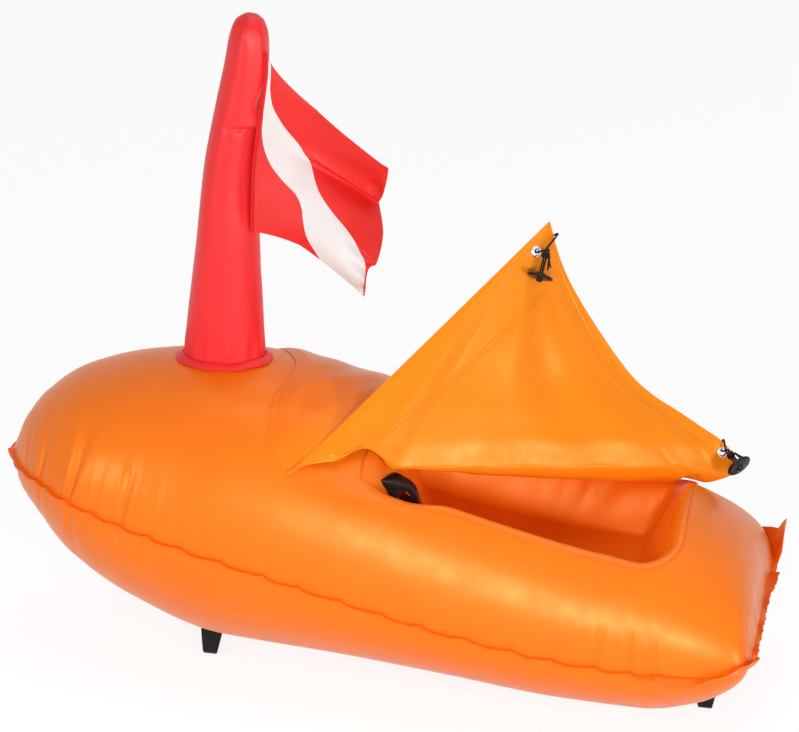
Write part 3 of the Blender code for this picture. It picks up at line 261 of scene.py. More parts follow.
# Softboxes: place, aim, and width and height
LAMPS = (
    ("bow", (-1.55, -1.60, 0.90), (-0.15, 0.0, 0.30), (0.42, 0.8)),
    ("front", (0.42, -2.20, 0.92), (0.2, 0.0, 0.2), (0.8, 0.27)),
    ("stern", (1.95, -1.55, 0.72), (0.1, 0.0, 0.32), (0.45, 0.3)),
    ("top", (0.2, 0.3, 2.6), (0.0, 0.0, 0.2), (1.8, 1.6)),
)
FLOOR_REACH = 14.0
FLOOR_GLOW = 1.17
FLOOR_COLOUR = (0.88, 0.88, 0.88, 1.0)

# Tints of the films' sheen
PEACH = (1.0, 0.68, 0.26)
ROSE = (1.0, 0.88, 0.88)
NICKEL = (0.80, 0.80, 0.82)
BLACK_GLOSS = 0.18
FILM_GRAIN = 0.00006


def smooth_step(value, width=1.0):
    """0 up to 0 and 1 from the width on."""
    t = np.clip(value / width, 0.0, 1.0)
    return t * t * (3.0 - 2.0 * t)


def bell(offset, width):
    """Rounded bump: 1 where the offset is 0."""
    return np.exp(-(offset / width) ** 2)


def soft_max(a, b, width):
    h = np.maximum(width - np.abs(a - b), 0.0) / width
    return np.maximum(a, b) + h * h * width * 0.25


def unit(vector):
    vector = np.asarray(vector, float)
    return vector / np.linalg.norm(vector)


def units(rows):
    return rows / np.linalg.norm(rows, axis=1, keepdims=True)


def full_turn(count):
    return np.linspace(0.0, 2.0 * math.pi, count, endpoint=False)


def placed(name, data):
    """New object of that data, in the scene."""
    made = bpy.data.objects.new(name, data)
    bpy.context.scene.collection.objects.link(made)
    return made


def turned_out(points, faces):
    """The faces, reversed if they look inwards."""
    return [tuple(face[::-1]) for face in faces] if enclosed_volume(points, faces) < 0.0 else faces


def smooth_table(table, column, value):
    """Monotone cubic through one column of a table whose first column rises."""
    xs = [row[0] for row in table]
    ys = [row[column] for row in table]
    if value <= xs[0]:
        return ys[0]
    if value >= xs[-1]:
        return ys[-1]
    k = max(i for i in range(len(xs) - 1) if xs[i] <= value)
    slopes = [(ys[i + 1] - ys[i]) / (xs[i + 1] - xs[i]) for i in range(len(xs) - 1)]

    def tangent(i):
        if i == 0:
            return slopes[0]
        if i == len(xs) - 1:
            return slopes[-1]
        before, after = slopes[i - 1], slopes[i]
        if before * after <= 0.0:
            return 0.0
        w1 = 2.0 * (xs[i + 1] - xs[i]) + (xs[i] - xs[i - 1])
        w2 = (xs[i + 1] - xs[i]) + 2.0 * (xs[i] - xs[i - 1])
        return (w1 + w2) / (w1 / before + w2 / after)

    step = xs[k + 1] - xs[k]
    t = (value - xs[k]) / step
    m0, m1 = tangent(k) * step, tangent(k + 1) * step
    rise = (2 * t ** 3 - 3 * t ** 2 + 1) * ys[k] + (t ** 3 - 2 * t ** 2 + t) * m0
    return rise + (-2 * t ** 3 + 3 * t ** 2) * ys[k + 1] + (t ** 3 - t ** 2) * m1


def sampled(table, column, low, high, count=3001):
    """A table's smooth curve as a function that takes arrays."""
    places = np.linspace(low, high, count)
    values = np.array([smooth_table(table, column, p) for p in places])
    return lambda value: np.interp(value, places, values)


HULL_CURVES = [sampled(HULL_STATIONS, c, 0.0, 1.0, 4001) for c in (1, 2, 3, 4)]
mast_centre = sampled(MAST_STATIONS, 1, 0.40, 0.90)
mast_radius = sampled(MAST_STATIONS, 2, 0.40, 0.90)
stripe_left = sampled(STRIPE_EDGES, 1, 0.0, 1.0, 801)
stripe_right = sampled(STRIPE_EDGES, 2, 0.0, 1.0, 801)
ruffle_width = sampled(RUFFLES, 1, -0.18, 0.18, 721)
ruffle_rise = sampled(RUFFLES, 2, -0.18, 0.18, 721)


def hull_section(x):
    """Half width, keel, seam and crown heights at a place along the hull."""
    return [curve((x - HULL_BOW_X) / HULL_LENGTH) for curve in HULL_CURVES]


def shell_top(x, y):
    half, keel, seam, crown = hull_section(x)
    ratio = np.minimum(np.abs(y) / np.maximum(half, 1e-6), 1.0)
    return seam + (crown - seam) * np.sqrt(1.0 - ratio * ratio)


def hull_bottom(x, y):
    half, keel, seam, crown = hull_section(x)
    ratio = np.minimum(np.abs(y) / np.maximum(half, 1e-6), 1.0)
    return seam - (seam - keel) * np.sqrt(1.0 - ratio * ratio)


def well_depth(x, y):
    """0 outside the well, 1 over its floor."""
    ahead = 1.0 - smooth_step(x + 0.02, 0.20)
    bow = WELL_FRONT_BOW * np.maximum(0.0, 1.0 - (y / 0.125) ** 2) * ahead
    mid = 0.5 * (WELL_FRONT_X + WELL_REAR_X)
    reach = 0.5 * (WELL_REAR_X - WELL_FRONT_X)
    qx = np.abs(x - bow - mid) - (reach - WELL_CORNER_RADIUS)
    qy = np.abs(y) - (WELL_HALF_WIDTH - WELL_CORNER_RADIUS)
    outside = np.hypot(np.maximum(qx, 0.0), np.maximum(qy, 0.0)) + np.minimum(np.maximum(qx, qy), 0.0)
    return smooth_step(WELL_CORNER_RADIUS - outside, WELL_WALL_WIDTH)


def deck_dip(x, y):
    """The deck sinks a little under the cover, ahead of the well."""
    along = smooth_step(x + 0.145, 0.085) * (1.0 - smooth_step(x - 0.01, 0.07))
    return DECK_DIP * along * (1.0 - smooth_step(np.abs(y) - 0.118, 0.050))


def hull_top(x, y):
    top = shell_top(x, y) - deck_dip(x, y)
    floor = hull_section(x)[2] + WELL_FLOOR_ABOVE_SEAM
    return top + (floor - top) * well_depth(x, y)


def grid_faces(rows, cols, closed=False, start=0):
    """Quads of a grid whose points run row by row."""
    span = cols if closed else cols - 1
    i, j = np.meshgrid(np.arange(rows - 1), np.arange(span), indexing="ij")
    k = (j + 1) % cols
    quads = np.stack([i * cols + j, i * cols + k, (i + 1) * cols + k, (i + 1) * cols + j], axis=-1)
    return (quads.reshape(-1, 4) + start).tolist()


def grid_normals(grid, closed=False):
    du = np.roll(grid, -1, axis=1) - np.roll(grid, 1, axis=1) if closed else np.gradient(grid, axis=1)
    normal = np.cross(du, np.gradient(grid, axis=0))
    return normal / np.maximum(np.linalg.norm(normal, axis=2, keepdims=True), 1e-12)


def enclosed_volume(points, faces):
    total = 0.0
    for size in (3, 4):
        picked = np.array([f for f in faces if len(f) == size])
        if len(picked):
            a = points[picked[:, 0]]
            for k in range(1, size - 1):
                total += float((a * np.cross(points[picked[:, k]], points[picked[:, k + 1]])).sum())
    return total


def add_piece(name, points, faces, material, nodes=(), sharp=60.0):
    """Closed mesh piece that rides on the buoy and stands for its CAD nodes."""
    points = np.asarray(points, float).reshape(-1, 3)
    faces = turned_out(points, faces)
    mesh = bpy.data.meshes.new(name)
    mesh.from_pydata(points.tolist(), [], faces)
    mesh.validate()
    mesh.shade_smooth()
    mesh.set_sharp_from_angle(angle=math.radians(sharp))
    mesh.materials.append(material)
    piece = placed(name, mesh)
    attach(piece, "root")
    if nodes:
        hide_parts(*nodes)
    return piece


def sheet_piece(name, grid, thickness, material, nodes=(), closed=False):
    """Sheet of even thickness about a grid of middle points."""
    rows, cols = grid.shape[:2]
    normal = grid_normals(grid, closed)
    front = (grid + normal * 0.5 * thickness).reshape(-1, 3)
    back = (grid - normal * 0.5 * thickness).reshape(-1, 3)
    half = rows * cols
    faces = grid_faces(rows, cols, closed)
    faces += [tuple(q[::-1]) for q in grid_faces(rows, cols, closed, half)]
    for j in range(cols if closed else cols - 1):
        k = (j + 1) % cols
        a, b = (rows - 1) * cols + j, (rows - 1) * cols + k
        faces += [(j, half + j, half + k, k), (a, b, half + b, half + a)]
    if not closed:
        for i in range(rows - 1):
            a, b = i * cols, (i + 1) * cols
            faces.append((a, b, half + b, half + a))
            a, b = a + cols - 1, b + cols - 1
            faces.append((a, half + a, half + b, b))
    return add_piece(name, np.vstack([front, back]), faces, material, nodes)


def ridge_piece(name, lines, material, nodes=(), closed=False):
    """Low rounded weld lines, each given by its middle points, its side and up directions, and its size."""
    points, faces = [], []
    for middle, side, up, width, height in lines:
        shape = RIDGE_SECTION
        count = len(middle)
        start = len(points)
        for p, s, n in zip(middle, side, up):
            points += [p + s * width * a + n * height * b for a, b in shape]
        size = len(shape)
        for i in range(count if closed else count - 1):
            a, b = start + i * size, start + ((i + 1) % count) * size
            for k in range(size):
                m = (k + 1) % size
                faces.append((a + k, a + m, b + m, b + k))
        if not closed:
            faces.append(tuple(range(start, start + size))[::-1])
            faces.append(tuple(range(start + (count - 1) * size, start + count * size)))
    return add_piece(name, points, faces, material, nodes, 80.0)


def tube_points(path, radius, sides):
    """Rings round a path, carried along without twist."""
    along = np.gradient(path, axis=0)
    along = units(along)
    side = unit(np.cross(along[0], (0.3, 0.5, 0.81)))
    rings = []
    for p, t in zip(path, along):
        side = unit(side - t * float(side @ t))
        other = np.cross(t, side)
        turn = full_turn(sides)
        rings.append(p + radius * (np.cos(turn)[:, None] * side + np.sin(turn)[:, None] * other))
    return np.array(rings)


def tube_faces(rows, cols, start=0):
    faces = grid_faces(rows, cols, True, start)
    faces.append(tuple(range(start, start + cols))[::-1])
    faces.append(tuple(range(start + (rows - 1) * cols, start + rows * cols)))
    return faces


def axis_frame(axis):
    axis = unit(axis)
    helper = np.array((0.0, 1.0, 0.0)) if abs(axis[1]) < 0.9 else np.array((1.0, 0.0, 0.0))
    side = unit(np.cross(helper, axis))
    return side, np.cross(axis, side), axis


def turned_piece(name, profile, centre, axis, material, nodes=(), count=48, sharp=35.0):
    """Profile of (radius, height) pairs turned about an axis; ends on the axis or closed."""
    side, other, axis = axis_frame(axis)
    turn = full_turn(count)
    closed = profile[0][0] > 0.0
    points, rings = [], []
    for radius, height in profile:
        if radius == 0.0:
            points.append(centre + axis * height)
            rings.append([len(points) - 1] * count)
            continue
        ring = []
        for a in turn:
            points.append(centre + axis * height + side * radius * math.cos(a) + other * radius * math.sin(a))
            ring.append(len(points) - 1)
        rings.append(ring)
    pairs = list(zip(rings[:-1], rings[1:]))
    if closed:
        pairs.append((rings[-1], rings[0]))
    faces = []
    for first, second in pairs:
        for k in range(count):
            m = (k + 1) % count
            face = tuple(dict.fromkeys((first[k], first[m], second[m], second[k])))
            faces.append(face)
    return add_piece(name, points, faces, material, nodes, sharp)


def rounded(profile):
    """Profile with its corners rounded by two passes of corner cutting."""
    near, far = 1.0 - CORNER_CUT, CORNER_CUT
    for _ in range(2):
        cut = [profile[0]]
        for a, b in zip(profile[:-1], profile[1:]):
            cut.append(tuple(near * p + far * q for p, q in zip(a, b)))
            cut.append(tuple(far * p + near * q for p, q in zip(a, b)))
        profile = cut + [profile[-1]]
    return profile


def softened_copy(name, node, material, edge=0.0009):
    """The node's own shape with rounded edges."""
    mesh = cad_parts[node].data.copy()
    mesh.name = name
    mesh.materials.clear()
    mesh.materials.append(material)
    piece = placed(name, mesh)
    weld = piece.modifiers.new("weld", 'WELD')
    weld.merge_threshold = 0.00002
    flat = piece.modifiers.new("flat", 'DECIMATE')
    flat.decimate_type = 'DISSOLVE'
    flat.angle_limit = math.radians(1.0)
    bevel = piece.modifiers.new("bevel", 'BEVEL')
    bevel.width = edge
    bevel.segments = 3
    bevel.limit_method = 'ANGLE'
    bevel.angle_limit = math.radians(BEVEL_FROM_ANGLE)
    apply_modifiers(piece)
    piece.data.shade_smooth()
    piece.data.set_sharp_from_angle(angle=math.radians(40.0))
    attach(piece, "root")
    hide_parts(node)
    return piece


def apply_modifiers(piece):
    """Bakes the piece's modifiers into its mesh."""
    bpy.context.view_layer.update()
    view = bpy.context.evaluated_depsgraph_get()
    mesh = bpy.data.meshes.new_from_object(piece.evaluated_get(view))
    piece.modifiers.clear()
    piece.data = mesh


def cut_holes(piece, places):
    """Round holes through a sheet at (centre, axis, radius, depth) places."""
    tools = []
    for centre, axis, radius, depth in places:
        side, other, axis = axis_frame(axis)
        turn = full_turn(HOLE_SIDES)
        ring = radius * (np.cos(turn)[:, None] * side + np.sin(turn)[:, None] * other)
        points = np.vstack([centre + ring - axis * 0.5 * depth, centre + ring + axis * 0.5 * depth])
        faces = tube_faces(2, HOLE_SIDES)
        mesh = bpy.data.meshes.new("hole_tool")
        mesh.from_pydata(points.tolist(), [], turned_out(points, faces))
        tool = placed("hole_tool", mesh)
        cut = piece.modifiers.new("hole", 'BOOLEAN')
        cut.operation = 'DIFFERENCE'
        cut.solver = 'EXACT'
        cut.object = tool
        tools.append(tool)
    apply_modifiers(piece)
    for tool in tools:
        bpy.data.objects.remove(tool)
    piece.data.shade_smooth()
    piece.data.set_sharp_from_angle(angle=math.radians(60.0))


# Finishes

def shader_of(name):
    material = bpy.data.materials.new(name)
    material.use_nodes = True
    tree = material.node_tree
    return material, tree, tree.nodes["Principled BSDF"]


def feed(tree, made, inputs):
    """Links each output, and sets each plain value, to the input of that key."""
    for key, value in inputs:
        if hasattr(value, "is_output"):
            tree.links.new(value, made.inputs[key])
        else:
            made.inputs[key].default_value = value


def node(tree, kind, inputs=(), **settings):
    made = tree.nodes.new(kind)
    for key, value in settings.items():
        setattr(made, key, value)
    feed(tree, made, inputs)
    return made


def combined(tree, first, second, operation):
    return node(tree, "ShaderNodeMath", [(0, first), (1, second)], operation=operation).outputs[0]


def object_places(tree, stretch=(1.0, 1.0, 1.0), turn=(0.0, 0.0, 0.0)):
    coords = node(tree, "ShaderNodeTexCoord")
    if stretch == (1.0, 1.0, 1.0) and turn == (0.0, 0.0, 0.0):
        return coords.outputs["Object"]
    mapping = node(tree, "ShaderNodeMapping", [("Vector", coords.outputs["Object"]), ("Scale", stretch),
                                               ("Rotation", turn)])
    return mapping.outputs["Vector"]


def noise(tree, places, scale, detail=3.0, roughness=0.5, distortion=0.0):
    made = node(tree, "ShaderNodeTexNoise", [
        ("Vector", places), ("Scale", scale), ("Detail", detail), ("Roughness", roughness),
        ("Distortion", distortion)])
    return made.outputs["Fac"]


def spread(tree, value, low, high, start=0.3, end=0.7):
    made = node(tree, "ShaderNodeMapRange", [
        ("Value", value), ("From Min", start), ("From Max", end), ("To Min", low), ("To Max", high)])
    return made.outputs["Result"]


def blended_colour(tree, share, first, second):
    """Mix of two colours; the first one may be an output."""
    first = first if hasattr(first, "is_output") else (*first, 1.0)
    colours = [(MIX_SHARE, share), (MIX_FIRST, first), (MIX_SECOND, (*second, 1.0))]
    return node(tree, "ShaderNodeMix", colours, data_type='RGBA').outputs[MIX_RESULT]


def bumped(tree, height, strength, distance, normal=None):
    made = node(tree, "ShaderNodeBump", [("Height", height), ("Strength", strength), ("Distance", distance)])
    if normal is not None:
        tree.links.new(normal, made.inputs["Normal"])
    return made.outputs["Normal"]


def film_finish(name, colour, deep, roughness, gloss, sheen, ripple_scale=26.0, ripple=0.0008,
                grain=FILM_GRAIN, free=None):
    """Welded vinyl film: faint cloudiness, uneven sheen, calendered grain and shallow ripples.

    free is painted light: a lighter, yellower colour painted where the film stands clear of the deck, for the
    light that comes through it and falls on it.
    """
    material, tree, shader = shader_of(name)
    places = object_places(tree)
    cloud = spread(tree, noise(tree, places, 7.0, 1.5, 0.4), 0.0, 0.6)
    tone = blended_colour(tree, cloud, colour, deep)
    # Painted light: the film takes the lighter free colour by the share stored as lifted
    if free is not None:
        lifted = node(tree, "ShaderNodeAttribute", attribute_name="lifted")
        tone = blended_colour(tree, lifted.outputs["Fac"], tone, free)
    worn = noise(tree, places, 34.0, 5.0, 0.65)
    fine = bumped(tree, noise(tree, places, 1100.0, 2.0, 0.5), 0.35, grain)
    long_places = object_places(tree, (1.0, 0.45, 1.0), (0.2, 0.1, 0.5))
    soft = noise(tree, long_places, ripple_scale, 3.0, 0.45, 0.6)
    # The sheen takes a little of the film's own colour
    feed(tree, shader, [
        ("Base Color", tone), ("Roughness", spread(tree, worn, roughness - 0.045, roughness + 0.055)),
        ("Specular IOR Level", gloss), ("Specular Tint", (*sheen, 1.0)),
        ("Normal", bumped(tree, soft, 0.5, ripple, fine))])
    return material


def cloth_finish(name, colour, deep, roughness, weave=620.0):
    """Coated cloth: fine crossed threads under a satin coating, and faint creases."""
    material, tree, shader = shader_of(name)
    places = object_places(tree)
    cloud = spread(tree, noise(tree, places, 11.0, 4.0, 0.6), 0.0, 0.6)
    rubbed = noise(tree, places, 60.0, 4.0, 0.6)
    threads = [node(tree, "ShaderNodeTexWave", [("Vector", places), ("Scale", weave), ("Distortion", 0.4)],
                    bands_direction=way).outputs["Fac"] for way in ('Z', 'X')]
    woven = bumped(tree, combined(tree, *threads, 'MAXIMUM'), 0.25, 0.00006)
    creased = noise(tree, object_places(tree, (1.0, 1.0, 0.35), (0.0, 0.6, 0.0)), 55.0, 3.0, 0.5, 0.8)
    feed(tree, shader, [
        ("Base Color", blended_colour(tree, cloud, colour, deep)),
        ("Roughness", spread(tree, rubbed, roughness - 0.05, roughness + 0.06)),
        ("Specular IOR Level", 0.34), ("Normal", bumped(tree, creased, 0.45, 0.0009, woven))])
    return material


def moulded_finish(name, colour, roughness):
    """Glossy moulded plastic with faint flow marks and handling wear."""
    material, tree, shader = shader_of(name)
    places = object_places(tree)
    cloud = spread(tree, noise(tree, places, 90.0, 4.0, 0.6), 0.0, 1.0)
    pale = tuple(min(1.0, c * 1.5 + 0.002) for c in colour)
    rubbed = noise(tree, places, 260.0, 5.0, 0.7)
    feed(tree, shader, [
        ("Base Color", blended_colour(tree, cloud, colour, pale)),
        ("Roughness", spread(tree, rubbed, roughness - 0.07, roughness + 0.10)),
        ("Specular IOR Level", BLACK_GLOSS),
        ("Normal", bumped(tree, noise(tree, places, 420.0, 3.0, 0.5), 0.3, 0.00012))])
    return material


def braid_finish(name, colour):
    """Braided elastic: crossed strands, with a painted highlight where they catch a little light."""
    material, tree, shader = shader_of(name)
    places = object_places(tree)
    one = node(tree, "ShaderNodeTexWave", [("Vector", places), ("Scale", 420.0), ("Distortion", 1.5)],
               bands_direction='DIAGONAL')
    two = node(tree, "ShaderNodeTexVoronoi", [("Vector", places), ("Scale", 1300.0)])
    both = combined(tree, one.outputs["Fac"], two.outputs["Distance"], 'MULTIPLY')
    # Painted highlight: a brighter colour laid on the strands' pattern
    strand_highlight = tuple(c * 2.0 + 0.004 for c in colour)
    feed(tree, shader, [
        ("Base Color", blended_colour(tree, both, colour, strand_highlight)),
        ("Specular IOR Level", BLACK_GLOSS),
        ("Roughness", spread(tree, two.outputs["Distance"], 0.55, 0.75, 0.0, 1.0)),
        ("Normal", bumped(tree, both, 0.6, 0.0003))])
    return material


def plated_finish(name, colour):
    """Bright plating with fine rubbing marks."""
    material, tree, shader = shader_of(name)
    places = object_places(tree)
    worn = noise(tree, places, 500.0, 5.0, 0.7)
    tone = tuple(c * 0.86 for c in colour)
    feed(tree, shader, [
        ("Base Color", blended_colour(tree, spread(tree, worn, 0.0, 1.0), colour, tone)),
        ("Metallic", 1.0), ("Roughness", spread(tree, worn, 0.14, 0.30)),
        ("Normal", bumped(tree, noise(tree, places, 900.0, 2.0), 0.2, 0.00005))])
    return material


def toned(colour, *shares):
    return tuple(c * share for c, share in zip(colour, shares))


def finish(name):
    """The finish of that name, made from the colours in the panel when first asked for."""
    if name in bpy.data.materials:
        return bpy.data.materials[name]
    colours = bpy.context.scene.buoy_finishes
    # cover is painted light: the hull's orange made lighter and yellower for the cover's lit flap, while the
    # part on the deck keeps the hull's orange
    hull, cover = tuple(colours.hull_orange), tuple(colours.cover_lit_orange)
    red, flag = tuple(colours.mast_red), tuple(colours.flag_red)
    white, black = tuple(colours.stripe_white), tuple(colours.fitting_black)
    darker = toned(hull, 1.0, 0.9, 1.0)
    maker, *values = {
        "hull_film": (film_finish, hull, toned(hull, 0.97, 0.90, 1.0), 0.36, 0.80, PEACH),
        "weld_film": (film_finish, darker, toned(hull, 0.92, 0.7, 1.0), 0.36, 0.6, PEACH, 60.0, 0.0005),
        "cover_film": (film_finish, hull, darker, 0.32, 0.62, PEACH, 40.0, 0.0006, FILM_GRAIN, cover),
        "mast_film": (film_finish, red, toned(red, 0.94, 0.7, 0.75), 0.42, 0.60, ROSE),
        "flag_cloth_red": (cloth_finish, flag, toned(flag, 0.92, 0.7, 0.8), 0.46),
        "flag_cloth_white": (cloth_finish, white, toned(white, 0.95, 0.95, 0.95), 0.50),
        "moulded_black": (moulded_finish, black, 0.24),
        "elastic_black": (braid_finish, black),
        "plated_nickel": (plated_finish, NICKEL),
    }[name]
    return maker(name, *values)


# Hull skin and its seam

def skin_places():
    """Places along the hull, closer together towards both ends."""
    i = np.arange(1, SKIN_RINGS) / (SKIN_RINGS - 1)
    return HULL_BOW_X + HULL_LENGTH * (0.45 * (0.5 - 0.5 * np.cos(math.pi * i)) + 0.55 * i)


def seam_travel(x):
    """Distance along the near seam from the bow."""
    places = np.concatenate([[HULL_BOW_X], skin_places()])
    half, keel, seam, crown = hull_section(places)
    steps = np.sqrt(np.diff(places) ** 2 + np.diff(half) ** 2 + np.diff(seam) ** 2)
    return np.interp(x, places, np.concatenate([[0.0], np.cumsum(steps)]))


def far_creases():
    """The unseen side's creases: as on the near side, shifted and uneven."""
    wander = np.random.default_rng(11)
    return [(p + wander.uniform(-0.012, 0.012), d * wander.uniform(0.7, 1.1), r * wander.uniform(0.8, 1.1),
             s * 0.8, w) for p, d, r, s, w in NEAR_CREASES]


def stern_creases():
    wander = np.random.default_rng(5)
    return [(y + wander.uniform(-0.006, 0.006), wander.uniform(0.0016, 0.0028), wander.uniform(0.024, 0.04),
             wander.uniform(-0.1, 0.1), 0.0042) for y in np.linspace(-0.150, 0.150, 9)]


def crease_field(travel, edge, creases, depth_share):
    """Narrow valleys that run off the seam with a soft swell on either side."""
    field = np.zeros_like(travel)
    for place, depth, reach, slant, width in creases:
        t = (travel - place - slant * edge) / (0.62 * width + 0.05 * edge)
        valley = np.exp(-t * t)
        swell = np.where(t < 0.0, 0.40, 0.20) * bell(np.abs(t) - 2.0, 1.1)
        field += depth * depth_share * (swell - valley) * np.exp(-(edge / reach) ** 1.7)
    return field


def seam_wave(travel, creases):
    """Up and down of the crimped seam: it sags between creases and steps at each."""
    places = np.array([0.0] + sorted(c[0] for c in creases) + [1.2])
    k = np.clip(np.searchsorted(places, travel) - 1, 0, len(places) - 2)
    phase = (travel - places[k]) / (places[k + 1] - places[k])
    gap = places[k + 1] - places[k]
    height = np.minimum(0.0036, 0.075 * gap)
    return -height * np.sin(math.pi * phase ** 0.8) + 0.35 * height * bell(phase - 0.03, 0.05)


def seam_pull(travel, creases):
    """How far each crease draws the seam inwards."""
    return sum(0.55 * d * bell(travel - p, (1.3 * w)) for p, d, r, s, w in creases)


def side_shift(x, near):
    """Outward and upward shift of the seam at a place along one side."""
    creases = NEAR_CREASES if near else FAR_CREASES
    travel = seam_travel(x)
    fade = 1.0 - smooth_step(x - 0.455, 0.019)
    return -seam_pull(travel, creases) * fade, seam_wave(travel, creases) * fade


FAR_CREASES = far_creases()
STERN_CREASES = stern_creases()


def skin_layer(columns, height, upper):
    """Displaced grid of one hull skin."""
    shape = bpy.context.scene.buoy_shape
    x = skin_places()[:, None] * np.ones((1, columns))
    half, keel, seam, crown = hull_section(x)
    angle = math.pi * (np.arange(columns) / (columns - 1) - 0.5)
    y = half * np.sin(angle)[None, :]
    z = height(x, y)
    z[:, 0] = seam[:, 0]
    z[:, -1] = seam[:, -1]
    z[-1, :] = seam[-1, :]
    grid = np.stack([x, y, z], axis=-1)
    normal = grid_normals(grid)
    if normal[len(x) // 2, columns // 2, 2] * (1.0 if upper else -1.0) < 0.0:
        normal = -normal
    step = np.linalg.norm(np.diff(grid, axis=1), axis=2)
    walked = np.concatenate([np.zeros((len(x), 1)), np.cumsum(step, axis=1)], axis=1)
    edge = np.minimum(walked, walked[:, -1:] - walked)
    travel = seam_travel(x)
    depth = shape.crease_depth * (1.5 if upper else 0.8)
    near = crease_field(travel, edge, NEAR_CREASES, depth)
    far = crease_field(travel, edge, FAR_CREASES, depth)
    field = np.where(y < 0.0, near, far) * (1.0 - smooth_step(x - 0.452, 0.022))
    lengthwise = np.linalg.norm(np.diff(grid, axis=0), axis=2)
    from_stern = np.concatenate([np.cumsum(lengthwise[::-1], axis=0)[::-1], np.zeros((1, columns))], axis=0)
    field += crease_field(y, from_stern, STERN_CREASES, depth) * smooth_step(from_stern, 0.004)
    if upper:
        field += shape.wrinkle_depth * well_wrinkles(x, y)
    field += 0.0007 * np.sin(9.0 * x + 3.0) * np.sin(21.0 * y + 8.0 * x)
    shift = [side_shift(skin_places(), n) for n in (True, False)]
    close = np.exp(-edge / 0.006)
    loose = np.exp(-edge / 0.016)
    out = np.where(y < 0.0, shift[0][0][:, None], shift[1][0][:, None])
    rise = np.where(y < 0.0, shift[0][1][:, None], shift[1][1][:, None])
    grid = grid + normal * (field * (1.0 - close))[:, :, None]
    grid[:, :, 1] += np.sign(y) * out * close
    grid[:, :, 2] += rise * loose
    return grid


def well_wrinkles(x, y):
    """Creases round the brink and corners of the well, and ripples on its walls."""
    depth = well_depth(x, y)
    wall = bell(depth - 0.5, 0.32)
    turn = np.arctan2(y / 0.14, (x - 0.156) / 0.21)
    corner = bell(np.abs(np.sin(2.0 * turn)) - 1.0, 0.35)
    ribs = np.sin(26.0 * turn + 3.0 * np.sin(5.0 * turn)) * 0.0011
    folds = sum(-deep * bell((turn - place) * 0.14 + slant * (depth - 0.5) * 0.05, width)
                for deep, place, slant, width in WELL_FOLDS)
    return wall * (ribs * (0.35 + corner) + folds)


def build_hull_skin():
    top = skin_layer(SKIN_TOP_COLUMNS, hull_top, True)
    low = skin_layer(SKIN_LOW_COLUMNS, hull_bottom, False)
    rows = len(top)
    # Both skins meet on the seam: the lower one takes the upper one's edge places
    low[:, 0] = top[:, 0]
    low[:, -1] = top[:, -1]
    stern_y = top[-1, :, 1]
    low[-1, :, 0] = np.interp(low[-1, :, 1], stern_y, top[-1, :, 0])
    low[-1, :, 2] = np.interp(low[-1, :, 1], stern_y, top[-1, :, 2])
    bow = np.array([[HULL_BOW_X, 0.0, float(hull_section(HULL_BOW_X)[2])]])
    points = np.vstack([bow, top.reshape(-1, 3), low.reshape(-1, 3)])
    faces = grid_faces(rows, SKIN_TOP_COLUMNS, False, 1)
    second = 1 + rows * SKIN_TOP_COLUMNS
    faces += [tuple(q[::-1]) for q in grid_faces(rows, SKIN_LOW_COLUMNS, False, second)]
    faces += [(0, 2 + j, 1 + j) for j in range(SKIN_TOP_COLUMNS - 1)]
    faces += [(0, second + j, second + j + 1) for j in range(SKIN_LOW_COLUMNS - 1)]
    piece = add_piece("hull_skin", points, faces, finish("hull_film"), ["hull"], 75.0)
    weld = piece.modifiers.new("weld", 'WELD')
    weld.merge_threshold = 0.00001
    apply_modifiers(piece)
    return piece


def seam_line():
    """Seam points, from the bow along the near side, across the stern and back."""
    x = np.concatenate([[HULL_BOW_X], skin_places()])
    half, keel, seam, crown = hull_section(x)
    sides = []
    for sign, near in ((-1.0, True), (1.0, False)):
        out, rise = side_shift(x, near)
        sides.append(np.stack([x, sign * (half + out), seam + rise], axis=-1))
    near, far = sides
    t = np.linspace(0.0, 1.0, 180)[1:-1, None]
    stern = near[-1] * (1.0 - t) + far[-1] * t
    return np.vstack([near, stern, far[:0:-1]])


def build_seam_flange():
    """Crimped ridge along the sides that widens into loose ruffles round the stern."""
    line = seam_line()
    ahead, behind = np.roll(line, -1, axis=0) - line, line - np.roll(line, 1, axis=0)
    along = units(ahead) + units(behind)
    for _ in range(8):
        along = 0.25 * np.roll(along, 1, axis=0) + 0.5 * along + 0.25 * np.roll(along, -1, axis=0)
    out = np.stack([along[:, 1], -along[:, 0], 0.0 * along[:, 0]], axis=-1)
    out = units(out)
    travel = np.cumsum(np.linalg.norm(behind, axis=1))
    x, y = line[:, 0], line[:, 1]
    aft = smooth_step(x - 0.385, 0.075)
    near_aft = smooth_step(x - 0.320, 0.050) * (y < 0.0)
    width = SEAM_SIDE_WIDTH * 0.8 + (ruffle_width(y) - SEAM_SIDE_WIDTH * 0.8) * aft
    width = np.maximum(width, SEAM_SIDE_WIDTH + 0.009 * near_aft * (1.0 - smooth_step(x - 0.452, 0.012)))
    ragged = np.sin(travel * 210.0) * np.sin(travel * 83.0 + 1.0) + 0.3 * np.sin(travel * 610.0)
    width += (0.0005 + 0.0006 * aft) * ragged
    rise = ruffle_rise(y) * aft
    rise -= 0.009 * near_aft * (1.0 - smooth_step(x - 0.435, 0.025)) * (0.8 + 0.2 * np.sin(travel * 95.0))
    crimp = 0.0006 * np.sin(travel * 2.0 * math.pi / 0.021) * np.sin(travel * 61.0) * (1.0 - aft)
    rows = []
    for share, lift in FLANGE_SECTION:
        p = line + out * (width * share)[:, None]
        p[:, 2] += rise * lift + crimp * max(share, 0.0)
        rows.append(p)
    grid = np.array(rows)
    return sheet_piece("hull_seam_ruffle", grid, SEAM_THICKNESS, finish("weld_film"),
                       ["hull_seam_flange"], closed=True)


